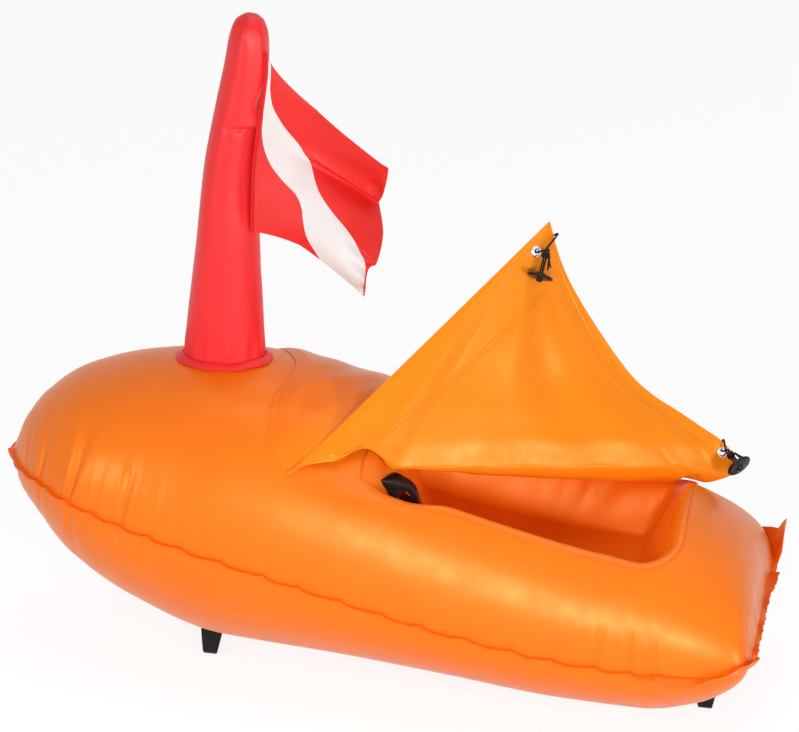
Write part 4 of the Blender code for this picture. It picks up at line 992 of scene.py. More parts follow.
def build_well_rim():
    """Raised weld line round the well, just outside its brink."""
    mid_x = 0.5 * (WELL_FRONT_X + WELL_REAR_X)
    count = 420
    turn = full_turn(count)
    run = np.stack([np.cos(turn) * 0.23, np.sin(turn) * 0.15], axis=-1)
    low, high = np.full(count, 0.3), np.full(count, 1.6)
    for _ in range(40):
        t = 0.5 * (low + high)
        inside = well_depth(mid_x + run[:, 0] * t, run[:, 1] * t) > 0.004
        low, high = np.where(inside, t, low), np.where(inside, high, t)
    reach = np.linalg.norm(run, axis=1)
    t = low + 0.0035 / reach
    x, y = mid_x + run[:, 0] * t, run[:, 1] * t
    middle = np.stack([x, y, hull_top(x, y) + 0.0008], axis=-1)
    step = 0.001
    slope_x = (hull_top(x + step, y) - hull_top(x - step, y)) / (2 * step)
    slope_y = (hull_top(x, y + step) - hull_top(x, y - step)) / (2 * step)
    up = np.stack([-slope_x, -slope_y, np.ones(count)], axis=-1)
    up = units(up)
    side = units(np.cross(np.roll(middle, -1, axis=0) - np.roll(middle, 1, axis=0), up))
    return ridge_piece("well_rim_bead", [(middle, side, up, *WELL_BEAD)], finish("weld_film"),
                       ["well_rim_weld"], closed=True)


# Mast and flag

def mast_flatness(z):
    share = MAST_BASE_RADIUS_Y / MAST_BASE_RADIUS_X
    return share + (1.0 - share) * smooth_step(z - 0.42, 0.20)


def mast_dents(turn, z):
    """Folds of the mast film: the pinch where the flag's weld ends, and soft lengthwise flats."""
    front = bell(turn + 0.80, 0.42)
    fold = bell(z - MAST_FOLD_Z, 0.0036) * bell(turn + 0.75, 0.85)
    below = smooth_step(MAST_FOLD_Z - z, 0.006) * (1.0 - smooth_step(0.655 - z, 0.09))
    below = below * smooth_step(z - 0.560, 0.06)
    above = bell((z - 0.768) - 0.02 * (turn + 0.9), 0.016) * bell(turn + 0.6, 0.4)
    flats = 0.0007 * np.sin(3.0 * turn + 14.0 * z) + 0.0005 * np.sin(5.0 * turn - 9.0 * z)
    cap = 0.0012 * bell(z - 0.868, 0.010) * np.cos(7.0 * turn)
    foot = 0.0009 * bell(z - 0.425, 0.020) * np.cos(13.0 * turn)
    pinch, hollow, dimple = MAST_PINCHES
    return -pinch * fold - hollow * below * front - dimple * above + flats + 0.5 * cap + foot


def build_mast():
    count = 120
    turn = np.linspace(-math.pi, math.pi, count, endpoint=False)
    rings = []
    for share in (0.34, 0.67, 0.94, 1.0):
        x = MAST_BASE_X + share * MAST_BASE_RADIUS_X * np.cos(turn)
        y = MAST_Y + share * MAST_BASE_RADIUS_Y * np.sin(turn)
        rings.append(np.stack([x, y, hull_top(x, y) + SKIN_GAP], axis=-1))
    heights = np.concatenate([np.linspace(0.430, 0.72, 60), np.linspace(0.7225, 0.752, 22),
                              np.linspace(0.755, 0.860, 34), np.linspace(0.862, 0.8878, 16)])
    for z in heights:
        dent = mast_dents(turn, z)
        radius = float(mast_radius(z)) if z < 0.886 else 0.0105 * math.sqrt(max(0.0, (0.889 - z) / 0.003))
        x = mast_centre(z) + (radius + dent * min(1.0, radius / 0.02)) * np.cos(turn)
        y = MAST_Y + (radius * mast_flatness(z) + dent * min(1.0, radius / 0.02)) * np.sin(turn)
        rings.append(np.stack([x, y, np.full(count, z)], axis=-1))
    # The foot flares from the ring on the deck into the sleeve
    grid = np.array(rings)
    rows = len(grid)
    low = [MAST_BASE_X, MAST_Y, float(hull_top(MAST_BASE_X, MAST_Y)) + SKIN_GAP]
    high = [float(mast_centre(MAST_TOP_Z)), MAST_Y, MAST_TOP_Z]
    points = np.vstack([grid.reshape(-1, 3), [low], [high]])
    faces = grid_faces(rows, count, True)
    top = (rows - 1) * count
    faces += [(rows * count, (k + 1) % count, k) for k in range(count)]
    faces += [(rows * count + 1, top + k, top + (k + 1) % count) for k in range(count)]
    return add_piece("mast_sleeve", points, faces, finish("mast_film"), ["mast"], 70.0)


def build_mast_ring():
    """Soft rolled lip where the sleeve is welded to the deck."""
    count = 160
    turn = full_turn(count)
    wave = 0.0006 * np.sin(9.0 * turn) + 0.0004 * np.sin(17.0 * turn + 1.0)
    rows = []
    for out, up in MAST_RING_SECTION:
        grow = out + wave * (out / 0.01)
        x = MAST_BASE_X + (MAST_BASE_RADIUS_X + grow) * np.cos(turn)
        y = MAST_Y + (MAST_BASE_RADIUS_Y + grow) * np.sin(turn)
        z = hull_top(x, y) + SKIN_GAP + up * (1.0 + 0.12 * np.sin(6.0 * turn))
        rows.append(np.stack([x, y, z], axis=-1))
    grid = np.array(rows)
    faces = grid_faces(len(rows), count, True)
    last = (len(rows) - 1) * count
    faces += [(last + k, last + (k + 1) % count, (k + 1) % count, k) for k in range(count)]
    return add_piece("mast_foot_ring", grid, faces, finish("mast_film"), ["mast_base_flange"],
                     70.0)


def hoist_place(v, gap):
    z = FLAG_TOP_Z - FLAG_HOIST * v
    turn = math.radians(HOIST_TURN)
    x = mast_centre(z) + (mast_radius(z) + gap) * math.cos(turn)
    y = MAST_Y - (mast_radius(z) * mast_flatness(z) + gap) * math.sin(turn)
    return np.stack([x, y, z], axis=-1)


def fold_step(below):
    """Overhanging fold: the cloth comes forward above the line and falls back sharply under it."""
    above = np.exp(np.minimum(below, 0.0) / 0.09)
    under = bell(np.maximum(below, 0.0), 0.035)
    return 0.55 * bell(below - 0.085, 0.05) - above * under


def flag_surface(u, v):
    """Middle of the flag cloth: u from mast to fly edge, v from top to foot."""
    hoist = hoist_place(v, 0.0012 + HOIST_TAPE_WIDTH)
    run = FLAG_TOP_RUN + (FLAG_FOOT_RUN - FLAG_TOP_RUN) * v + 0.014 * bell(v - 0.62, 0.2)
    drop = FLAG_TOP_DROP * (1.0 - v) + FLAG_FOOT_DROP * v
    x = hoist[..., 0] + run * u
    z = hoist[..., 2] - drop * u ** (0.72 + 0.78 * v)
    wave = FLAG_FOLD * u ** 0.8 * np.sin(2.0 * math.pi * (1.18 * v - 0.30 + 0.10 * u))
    tuck = 0.012 * u ** 2 * bell(v - 0.40, 0.07)
    tuck += 0.009 * u ** 3 * bell(v - 0.80, 0.06)
    y = hoist[..., 1] + (MAST_Y - hoist[..., 1]) * np.minimum(1.0, 2.5 * u)
    # Small creases of the cloth: at the fly's curled corner, from the hoist and along the fold
    curl = 0.0045 * bell(u - 0.90, 0.05) * bell(v - 0.26, 0.07)
    curl -= 0.0040 * bell(u - 0.97 + 0.6 * (v - 0.3), 0.03) * bell(v - 0.30, 0.06)
    pull = 0.0016 * np.sin(30.0 * v + 9.0 * u) * u * (1.0 - u) * 1.6
    pull += fold_step(v - 0.43 + 0.08 * u) * smooth_step(u - 0.12, 0.45) * FLAG_MAIN_FOLD
    pull += fold_step(v - 0.70) * smooth_step(u - 0.70, 0.20) * FLAG_LOW_FOLD
    edge = 0.0050 * bell(u - 1.0, 0.04) * np.sin(19.0 * v + 9.0 * v * v + 0.5)
    y = y + wave + tuck - 0.004 * u + curl + pull + edge
    return np.stack([x - 0.5 * tuck, y, z], axis=-1)


def flag_lifted(u, v, lift):
    """Flag surface moved off the cloth along its own direction."""
    h = 0.002
    du = flag_surface(np.minimum(u + h, 1.0), v) - flag_surface(np.maximum(u - h, 0.0), v)
    dv = flag_surface(u, np.minimum(v + h, 1.0)) - flag_surface(u, np.maximum(v - h, 0.0))
    normal = np.cross(du, dv)
    normal /= np.maximum(np.linalg.norm(normal, axis=2, keepdims=True), 1e-12)
    return flag_surface(u, v) + normal * lift


def build_flag():
    u, v = np.meshgrid(np.linspace(0.0, 1.0, FLAG_COLUMNS), np.linspace(0.0, 1.0, FLAG_ROWS))
    cloth = sheet_piece("flag_cloth", flag_surface(np.maximum(u, 1e-6), v), FLAG_THICKNESS,
                        finish("flag_cloth_red"), ["flag"])
    v = np.linspace(0.004, 0.996, 190)[:, None] * np.ones((1, 40))
    share = np.linspace(0.0, 1.0, 40)[None, :]
    for name, side, stripe_node in (("stripe_seen_side", -1.0, "flag_stripe_near"),
                                    ("stripe_back_side", 1.0, "flag_stripe_far")):
        u = stripe_left(v) + (stripe_right(v) - stripe_left(v)) * share
        lift = side * (0.5 * FLAG_THICKNESS + STRIPE_GAP + 0.5 * STRIPE_THICKNESS)
        sheet_piece(name, flag_lifted(u, v, lift), STRIPE_THICKNESS,
                                   finish("flag_cloth_white"), [stripe_node])
    rows = np.linspace(-0.01, 1.01, 120)
    shares = (0.0, 0.25, 0.5, 0.75, 1.0)
    tape = np.array([[hoist_place(v, 0.0006 + HOIST_TAPE_WIDTH * t) for t in shares] for v in rows])
    tape[:, :, 0] += 0.0004 * np.sin(rows * 160.0)[:, None]
    sheet_piece("flag_hoist_weld", tape, 0.0016, finish("flag_cloth_red"), ["flag_hoist_tape"])


# Cover

def arc_place(y):
    reach = np.abs(y)
    x = -0.146 - 0.028 * np.sin(math.pi * reach / 0.21) ** 2
    return x + 0.022 * np.maximum(0.0, (reach - 0.131) / 0.027) ** 2


def fold_point(s):
    x = COVER_BOW[0] + (COVER_TAIL[0] - COVER_BOW[0]) * s
    y = COVER_BOW[1] + (COVER_TAIL[1] - COVER_BOW[1]) * s
    z = smooth_table(COVER_FOLD_HEIGHTS, 1, s)
    return np.array((x, y, soft_max(z, hull_top(x, y) + 0.0075, 0.010)))


def cover_base_point(w, s):
    y = COVER_BOW[1] + (COVER_FAR_BOW[1] - COVER_BOW[1]) * w
    bow = np.array((arc_place(y), y))
    tail = np.array(COVER_TAIL[:2]) + (np.array(COVER_FAR_BOW) - np.array(COVER_TAIL[:2])) * w
    place = bow + (tail - bow) * s
    roll = fold_point(s)[2] + 0.004
    rest = roll + (shell_top(place[0], 0.150) + 0.004 - roll) * w
    deck = hull_top(place[0], place[1]) + COVER_LIFT + 0.003 * smooth_step(place[0] + 0.15, 0.06)
    return np.array((place[0], place[1], soft_max(rest if s > 0.0 else deck, deck, 0.006)))


def cover_flap_frame(w, s):
    bow = np.array(COVER_BOW) + (np.array(COVER_PEAK) - np.array(COVER_BOW)) * w
    peak, tail = np.array(COVER_PEAK), np.array(COVER_TAIL)
    inward = unit((-0.746, 0.0, -0.667))
    rear = tail + (peak - tail) * w + inward * smooth_table(COVER_REAR_HOLLOW, 1, w)
    return bow + (rear - bow) * s


def cover_column(s):
    """Middle points of the cover along one column: lower layer, roll, raised flap."""
    corner = fold_point(s)
    low_dir = unit(cover_base_point(0.30, s) - corner)
    flap_dir = unit(cover_flap_frame(0.35, s) - corner)
    opening = math.acos(max(-1.0, min(1.0, float(low_dir @ flap_dir))))
    radius = COVER_ROLL_RADIUS * (0.10 + 0.90 * math.sin(math.pi * min(1.0, s * 0.62 + 0.02)) ** 0.8)
    radius *= 1.0 - 0.45 * smooth_step(s - 0.90, 0.10)
    inward = unit(low_dir + flap_dir)
    reach = radius / math.sin(0.5 * opening)
    knee = corner - inward * (reach - radius)
    centre = knee + inward * reach
    tangent = radius / math.tan(0.5 * opening)
    low_end, flap_end = knee + low_dir * tangent, knee + flap_dir * tangent
    column = []
    for i in range(COVER_BASE_ROWS):
        w = 0.975 * (1.0 - i / COVER_BASE_ROWS)
        column.append(cover_base_point(w, s) + (low_end - cover_base_point(0.0, s)) * (1.0 - w) ** 2)
    a, b = low_end - centre, flap_end - centre
    turn = math.acos(max(-1.0, min(1.0, float(unit(a) @ unit(b)))))
    for i in range(COVER_ROLL_ROWS):
        t = i / (COVER_ROLL_ROWS - 1)
        column.append(centre + (math.sin((1.0 - t) * turn) * a + math.sin(t * turn) * b) / math.sin(turn))
    for i in range(1, COVER_FLAP_ROWS + 1):
        w = COVER_FLAP_TOP * i / COVER_FLAP_ROWS if i < COVER_FLAP_ROWS else COVER_TIP
        billow = COVER_BILLOW * math.sin(math.pi * s) * math.sin(math.pi * w)
        point = cover_flap_frame(w, s) + (flap_end - cover_flap_frame(0.0, s)) * (1.0 - w) ** 1.5
        column.append(point + np.array((0.0, -billow, 0.3 * billow)))
    rest = COVER_BASE_ROWS + COVER_ROLL_ROWS
    for i, point in enumerate(column):
        climb = smooth_step(i - COVER_BASE_ROWS + 1, COVER_ROLL_ROWS) if i < rest else 1.0
        brink = smooth_step(well_depth(point[0] + 0.045, point[1]), 0.20)
        brink = max(brink, 0.5 * smooth_step(well_depth(point[0] - 0.030, point[1]), 0.20))
        filled = 0.85 * deck_dip(point[0], point[1]) * (1.0 - climb)
        floor = hull_top(point[0], point[1]) + COVER_CLEARANCE + COVER_LAYER_STEP * climb
        point[2] = soft_max(point[2], floor + max(filled, COVER_BRINK_CLEARANCE * brink), 0.004)
    return column


def refined(grid, steps):
    """Rounded points between the rows of a grid, the ends kept."""
    full = np.concatenate([[2 * grid[0] - grid[1]], grid, [2 * grid[-1] - grid[-2]]])
    p0, p1, p2, p3 = full[:-3], full[1:-2], full[2:-1], full[3:]
    rows = []
    for i in range(len(p0)):
        for k in range(steps):
            t = k / steps
            bend = 2 * p0[i] - 5 * p1[i] + 4 * p2[i] - p3[i]
            twist = 3 * p1[i] - p0[i] - 3 * p2[i] + p3[i]
            rows.append(0.5 * (2 * p1[i] + (p2[i] - p0[i]) * t + bend * t * t + twist * t ** 3))
    return np.array(rows + [grid[-1]])


def grid_point(grid, row, column):
    """Point and unit normal at a fractional place of a grid."""
    rows, cols = grid.shape[:2]
    row = min(max(row, 0.0), rows - 1.001)
    column = min(max(column, 0.0), cols - 1.001)
    i, j = int(row), int(column)
    fr, fc = row - i, column - j
    p00, p01, p10, p11 = grid[i, j], grid[i, j + 1], grid[i + 1, j], grid[i + 1, j + 1]
    point = (1 - fr) * ((1 - fc) * p00 + fc * p01) + fr * ((1 - fc) * p10 + fc * p11)
    across = (1 - fr) * (p01 - p00) + fr * (p11 - p10)
    along = (1 - fc) * (p10 - p00) + fc * (p11 - p01)
    return point, unit(np.cross(across, along))


COVER = {}


def shape_cover():
    """The cover's coarse grid, with a longer tip than the solid's, and the fine creased one that is shown."""
    columns = [cover_column(j / (COVER_COLUMNS - 1)) for j in range(COVER_COLUMNS)]
    coarse = np.array(columns).transpose(1, 0, 2)
    seen = grid_point(coarse, COVER_BASE_ROWS + COVER_ROLL_ROWS + 5.0, 15.0)[1]
    COVER["coarse"] = coarse
    COVER["face"] = -1.0 if seen[1] > 0.0 else 1.0
    fine = refined(coarse, COVER_FINER)
    fine = refined(fine.transpose(1, 0, 2), COVER_FINER).transpose(1, 0, 2)
    normal = grid_normals(fine) * COVER["face"]
    rows = np.arange(fine.shape[0])[:, None] / COVER_FINER * np.ones((1, fine.shape[1]))
    cols = np.arange(fine.shape[1])[None, :] / COVER_FINER * np.ones((fine.shape[0], 1))
    fine = fine + normal * cover_creases(rows, cols)[:, :, None]
    # The front edge is welded down: it comes flush with the deck
    flush = 1.0 - smooth_step(cols, 2.2)
    flush = flush * (1.0 - smooth_step(rows - COVER_BASE_ROWS + 0.5, 1.5))
    deck = hull_top(fine[:, :, 0], fine[:, :, 1]) + 0.0009
    fine[:, :, 2] += (deck - fine[:, :, 2]) * flush
    COVER["fine"] = fine


def cover_creases(row, col):
    """Soft folds of the hanging flap, ripples at the roll, tucks at its corners, hem step."""
    first = COVER_BASE_ROWS + COVER_ROLL_ROWS - 1.0
    up = np.clip((row - first) / COVER_FLAP_ROWS, 0.0, 1.0)
    across = col / (COVER_COLUMNS - 1.0)
    on_flap = smooth_step(row - first + 1.0, 2.0)
    calm = 1.0 - smooth_step(up - 0.60, 0.30)
    field = sum(height * bell(across - s, wide) * bell(up - t, tall)
                for height, s, wide, t, tall in FLAP_FOLDS)
    field += 0.0005 * np.sin(34.0 * across + 7.0 * up) * calm
    hem = 0.0006 * (smooth_step(across - 0.935, 0.012) + smooth_step(up - 0.95, 0.02))
    roll = bell(row - first + 3.5, 3.0)
    tuck = -0.0022 * bell(across - 0.125 - 0.02 * (row - first) / 4.0, 0.008)
    tuck -= 0.0018 * bell(across - 0.845 + 0.012 * (row - first), 0.007)
    tuck += 0.0003 * np.sin(43.0 * across) * (1.0 - np.exp(-across / 0.2))
    base = 0.0011 * np.sin(24.0 * across + 2.0 * row) * smooth_step(across, 0.12)
    base = base * (1.0 - smooth_step(row - 13.0, 2.0))
    return on_flap * (field + hem) + roll * tuck + base * 0.6


def cover_strip_line(places, width, height):
    """One raised weld line on the seen face of the cover through (row, column) places."""
    fine = COVER["fine"]
    lift = 0.5 * COVER_THICKNESS
    middle, up = [], []
    for row, column in places:
        point, normal = grid_point(fine, row * COVER_FINER, column * COVER_FINER)
        normal = normal * COVER["face"]
        middle.append(point + normal * lift)
        up.append(normal)
    middle, up = np.array(middle), np.array(up)
    return middle, units(np.cross(np.gradient(middle, axis=0), up)), up, width, height


def build_cover():
    shape_cover()
    fine = COVER["fine"]
    cover = sheet_piece("cover_sheet", fine, COVER_THICKNESS, finish("cover_film"), ["cover"])
    rows = np.arange(fine.shape[0]) / COVER_FINER
    # Painted light: share of the lighter painted tone, from the shaded lower layer up the roll to the lit
    # flap
    free = smooth_step(rows - COVER_BASE_ROWS + 2.0, 3.0)
    mark_painted_light(cover, np.tile(np.repeat(free, fine.shape[1]), 2))
    corners = [corner_place(tag) for tag in ("peak", "tail")]
    cut_holes(cover, [(eye, normal, EYELET_CUT_RADIUS, 0.010) for eye, normal in corners])
    welds = build_cover_welds()


def mark_painted_light(piece, shares):
    """Stores on each vertex how far the film stands free of the deck, the share of painted light that its
    colour takes.
    """
    layer = piece.data.attributes.new("lifted", 'FLOAT', 'POINT')
    layer.data.foreach_set("value", np.asarray(shares, dtype=np.float32))


def build_cover_welds():
    last = COVER_COLUMNS - 1.0
    arc = [COVER_BASE_ROWS * t for t in np.linspace(0.0, 0.965, 120)]
    front = [cover_strip_line([(row, column) for row in arc], *FRONT_WELD) for column in (0.14, 0.70)]
    film = finish("cover_film")
    front_piece = ridge_piece("cover_front_weld_lines", front, film, ["cover_front_weld"])
    first = COVER_BASE_ROWS + COVER_ROLL_ROWS - 0.1
    top = COVER_BASE_ROWS + COVER_ROLL_ROWS + COVER_FLAP_ROWS - 1.0
    rows = [first + (top - first) * t for t in np.linspace(0.0, 0.735, 110)]
    coarse = COVER["coarse"]
    side, inner, rear = [], [], []
    for row in rows:
        ends = [grid_point(coarse, row, c)[0] for c in (0.0, last)]
        step = float(np.linalg.norm(ends[1] - ends[0])) / last
        side.append((row, HEM_SIDE_INSET / step))
        inner.append((row, (HEM_SIDE_INSET + HEM_SIDE_BAND) / step))
        rear.append((row, last - (HEM_REAR_INSET + 0.0015) / step))
    side_piece = ridge_piece("cover_side_hem_lines",
                             [cover_strip_line(side, *SIDE_HEM), cover_strip_line(inner, *SIDE_HEM)],
                             film, ["cover_hem_weld_side"])
    rear_piece = ridge_piece("cover_rear_hem_line", [cover_strip_line(rear, *REAR_HEM)],
                             film, ["cover_hem_weld_rear"])
    # The flap's hem lines take the full painted light tone
    for piece in (side_piece, rear_piece):
        mark_painted_light(piece, np.ones(len(piece.data.vertices)))
    return [front_piece, side_piece, rear_piece]


def corner_place(tag):
    """Eyelet place and seen direction at one free corner."""
    rows = COVER_BASE_ROWS + COVER_ROLL_ROWS + COVER_FLAP_ROWS
    row, column = (rows - 1 - PEAK_EYELET_ROWS, PEAK_EYELET_COLUMN) if tag == "peak" else \
        (TAIL_EYELET_ROW, TAIL_EYELET_COLUMN)
    eye, normal = grid_point(COVER["coarse"], row, column)
    return eye, normal * COVER["face"]


# Eyelets, loops and toggles

def build_eyelet(tag, centre, normal):
    """Plated ring, rolled over on both faces."""
    half = 0.5 * COVER_THICKNESS + 0.0004
    hole, rim, top = EYELET_HOLE_RADIUS, EYELET_OUTER_RADIUS, half + 0.0012
    seen = [(hole, 0.0), (hole + 0.0001, top - 0.0008), (hole + 0.0007, top), (rim - 0.0022, top - 0.0001),
            (rim - 0.0006, top - 0.0007), (rim, half), (rim - 0.0003, half - 0.0003)]
    back = [(r, -h) for r, h in seen[:0:-1]]
    profile = seen + [(hole + 0.0010, half - 0.0003), (hole + 0.0010, -half + 0.0003)] + back
    turned_piece("eyelet_ring_" + tag, profile, centre, normal, finish("plated_nickel"),
                 ["cover_eyelet_" + tag], 48)


def build_toggle(tag, centre, axis):
    half = 0.5 * TOGGLE_THICKNESS
    bore = TOGGLE_BORE_RADIUS
    profile = [
        (0.0, -0.0010), (bore, -0.0010), (bore, half + 0.0030), (bore + 0.0015, half + 0.0030),
        (bore + 0.0024, half + 0.0004), (TOGGLE_RADIUS - 0.0050, half + 0.0001),
        (TOGGLE_RADIUS - 0.0022, half - 0.0006), (TOGGLE_RADIUS - 0.0006, half - 0.0016),
        (TOGGLE_RADIUS, 0.0), (TOGGLE_RADIUS - 0.0006, -half + 0.0016),
        (TOGGLE_RADIUS - 0.0022, -half + 0.0006), (TOGGLE_KNOB_RADIUS + 0.0010, -half - 0.0002),
        (TOGGLE_KNOB_RADIUS, -half - 0.0024), (TOGGLE_KNOB_RADIUS - 0.0010, -half - 0.0040),
        (0.0, -half - 0.0045),
    ]
    return turned_piece("toggle_button_" + tag, rounded(profile), centre, axis, finish("moulded_black"),
                        ["toggle_" + tag], 56)


def build_knot(tag, knot, axis, side):
    """Two turns of elastic round both strands, and its two cut tails."""
    points, faces = [], []
    u, w, axis = axis_frame(axis)
    turn = np.linspace(0.0, 4.6 * math.pi, 90)
    ring = 0.0041 + 0.0004 * np.sin(3.0 * turn)
    rise = np.linspace(-0.0030, 0.0030, 90) + 0.0008 * np.sin(2.0 * turn)
    wrap = knot + ring[:, None] * (np.cos(turn)[:, None] * u + np.sin(turn)[:, None] * w)
    wrap = wrap + rise[:, None] * axis
    tails = []
    for sign, length in ((1.0, 0.013), (0.45, 0.017)):
        t = np.linspace(0.0, 1.0, 24)[:, None]
        start = knot + side * 0.0042
        tails.append(start + side * (0.006 * t * sign + 0.002) - axis * (length * t * (0.6 + 0.4 * t))
                     + np.cross(axis, side) * 0.003 * np.sin(3.0 * t) * sign)
    for path in [wrap] + tails:
        rings = tube_points(path, CORD_RADIUS * 0.92, 10)
        start = len(points)
        points += list(rings.reshape(-1, 3))
        faces += tube_faces(len(rings), 10, start)
    return add_piece("loop_knot_" + tag, points, faces, finish("elastic_black"),
                     ["cord_knot_" + tag], 70.0)


def build_loop(tag, eye, normal, over, toggle, axis, knot):
    """Elastic loop from the toggle, through the eyelet, over the edge and back."""
    side = unit(np.cross(axis, normal))
    gap = side * STRAND_HALF_GAP
    bottom = toggle + axis * 0.0004
    mouth = toggle + axis * (0.5 * TOGGLE_THICKNESS + 0.0040)
    passing = [axis * h for h in THROUGH_KNOT]
    knots = [bottom - gap, mouth - gap] + [knot - gap + step for step in passing[::-1]]
    pull = unit(over - eye) * CORD_PULL[tag]
    knots += [
        over + normal * 0.0045, over + (over - eye) * 0.22, over - normal * 0.0045,
        0.5 * (over + eye) - normal * 0.0060, eye + pull - normal * 0.0040, eye + pull + normal * 0.0040,
    ]
    knots += [knot + gap + step for step in passing] + [mouth + gap, bottom + gap]
    path = refined(np.array(knots), 4)
    curve = bpy.data.curves.new("elastic_loop_" + tag, 'CURVE')
    curve.dimensions = '3D'
    curve.bevel_depth = CORD_RADIUS
    curve.bevel_resolution = 4
    curve.use_fill_caps = True
    line = curve.splines.new('POLY')
    line.points.add(len(path) - 1)
    line.points.foreach_set("co", np.hstack([path, np.ones((len(path), 1))]).ravel())
    curve.materials.append(finish("elastic_black"))
    piece = placed("elastic_loop_" + tag, curve)
    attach(piece, "root")
    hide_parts("toggle_cord_" + tag)
    return piece


def rear_edge_from(eye, turn):
    edge = COVER["fine"][(COVER_BASE_ROWS + COVER_ROLL_ROWS) * COVER_FINER:, -1]
    turn = unit(turn)

    def fitness(p):
        return float(unit(p - eye) @ turn) - 4.0 * float(np.linalg.norm(p - eye))

    return np.array(max(edge, key=fitness))


def build_corner(tag, turn, drop, axis):
    eye, normal = corner_place(tag)
    axis = unit(axis)
    edge = rear_edge_from(eye, turn)
    off_cover, along_axis, to_edge = KNOT_PLACE
    knot = eye + normal * off_cover - axis * along_axis + (edge - eye) * to_edge
    toggle = knot - axis * drop * KNOT_TO_TOGGLE
    build_eyelet(tag, eye, normal)
    toggle_piece = build_toggle(tag, toggle, axis)
    side = unit(np.cross(axis, normal))
    knot_piece = build_knot(tag, knot, axis, side)
    build_loop(tag, eye, normal, edge, toggle, axis, knot)


# Camera, lamps and floor

def photo_axes():
    e, a, r = (math.radians(v) for v in (VIEW_ELEVATION, VIEW_AZIMUTH, VIEW_ROLL))
    right = Vector((math.cos(a), math.sin(a), 0.0))
    forward = Vector((-math.sin(a) * math.cos(e), math.cos(a) * math.cos(e), -math.sin(e)))
    up = right.cross(forward)
    return math.cos(r) * right + math.sin(r) * up, -math.sin(r) * right + math.cos(r) * up, forward


def add_camera():
    across, upward, forward = photo_axes()
    step = METRES_PER_PIXEL
    centre = Vector(PHOTO_SHIFT) + across * (0.5 * PHOTO_SIZE[0] - PHOTO_ORIGIN[0]) * step
    centre += upward * (PHOTO_ORIGIN[1] - 0.5 * PHOTO_SIZE[1]) * step
    data = bpy.data.cameras.new("photo_camera")
    data.type = 'ORTHO'
    data.ortho_scale = PHOTO_SIZE[0] * step
    camera = placed("photo_camera", data)
    turn = Matrix((across, upward, -forward)).transposed().to_4x4()
    camera.matrix_world = Matrix.Translation(centre - forward * CAMERA_DISTANCE) @ turn
    bpy.context.scene.camera = camera


def add_lamp(name, place, aim, size, power):
    data = bpy.data.lights.new(name, 'AREA')
    data.shape = 'RECTANGLE'
    data.size, data.size_y = size
    data.energy = power
    lamp = placed(name, data)
    lamp.location = place
    lamp.rotation_euler = (Vector(aim) - Vector(place)).to_track_quat('-Z', 'Y').to_euler()


def seen_directly(tree):
    """1 for camera, mirror and see-through rays."""
    path = node(tree, "ShaderNodeLightPath")
    both = combined(tree, path.outputs["Is Camera Ray"], path.outputs["Is Glossy Ray"], 'MAXIMUM')
    return combined(tree, both, path.outputs["Is Transmission Ray"], 'MAXIMUM')


def build_stage():
    stage = bpy.context.scene.buoy_stage
    scene = bpy.context.scene
    scene.view_settings.view_transform = 'Standard'
    add_camera()
    for name, place, aim, size in LAMPS:
        add_lamp(name + "_softbox", place, aim, size, getattr(stage, name + "_power"))
    world = bpy.data.worlds.new("pale_room")
    scene.world = world
    world.use_nodes = True
    tree = world.node_tree
    background = tree.nodes["Background"]
    share = seen_directly(tree)
    levels = [("Value", share), ("To Min", stage.room_light), ("To Max", 1.0)]
    strength = node(tree, "ShaderNodeMapRange", levels).outputs["Result"]
    feed(tree, background, [("Strength", strength), ("Color", (1.0, 1.0, 1.0, 1.0))])
    mesh = bpy.data.meshes.new("floor")
    corners = [(x * FLOOR_REACH, y * FLOOR_REACH, 0.0) for x, y in ((-1, -1), (1, -1), (1, 1), (-1, 1))]
    mesh.from_pydata(corners, [], [(0, 1, 2, 3)])
    floor = placed("floor", mesh)
    material, tree, shader = shader_of("pale_floor")
    feed(tree, shader, [("Base Color", FLOOR_COLOUR), ("Roughness", 0.9), ("Specular IOR Level", 0.1)])
    glow = node(tree, "ShaderNodeEmission", [("Strength", FLOOR_GLOW)])
    level = combined(tree, seen_directly(tree), stage.floor_white, 'MULTIPLY')
    mix = node(tree, "ShaderNodeMixShader", [(0, level), (1, shader.outputs[0]), (2, glow.outputs[0])])
    feed(tree, tree.nodes["Material Output"], [("Surface", mix.outputs[0])])
    mesh.materials.append(material)


# The add-on's settings, operators and panel

def colour_setting(name, description, default):
    return FloatVectorProperty(name=name, description=description, default=default, subtype='COLOR', size=3,
                               min=0.0, max=1.0)


def power_setting(name, description, default):
    return FloatProperty(name=name, description=description, default=default, unit='POWER')


def share_setting(name, description, default, most):
    return FloatProperty(name=name, description=description, default=default, min=0.0, max=most,
                         subtype='FACTOR')


class BuoyShapeSettings(bpy.types.PropertyGroup):
    crease_depth: share_setting("Crease depth", "Depth of the seam creases, as a share", 1.0, 2.0)
    wrinkle_depth: share_setting("Well wrinkles", "Depth of the wrinkles in the well, as a share", 1.0, 2.0)


class BuoyFinishSettings(bpy.types.PropertyGroup):
    hull_orange: colour_setting("Hull orange", "Colour of the hull film", (0.92, 0.175, 0.004))
    # The cover's orange is painted light: lighter and yellower than the hull's, for the lit flap
    cover_lit_orange: colour_setting("Cover orange", "Colour of the cover's lifted flap", (0.92, 0.240, 0.005))
    mast_red: colour_setting("Mast red", "Colour of the mast film", (0.86, 0.010, 0.013))
    flag_red: colour_setting("Flag red", "Colour of the flag's red cloth", (0.76, 0.020, 0.016))
    stripe_white: colour_setting("Stripe white", "Colour of the flag's diagonal stripe", (0.76, 0.71, 0.70))
    fitting_black: colour_setting("Fitting black", "Colour of the eyes, toggles and elastic",
                                  (0.008, 0.006, 0.006))


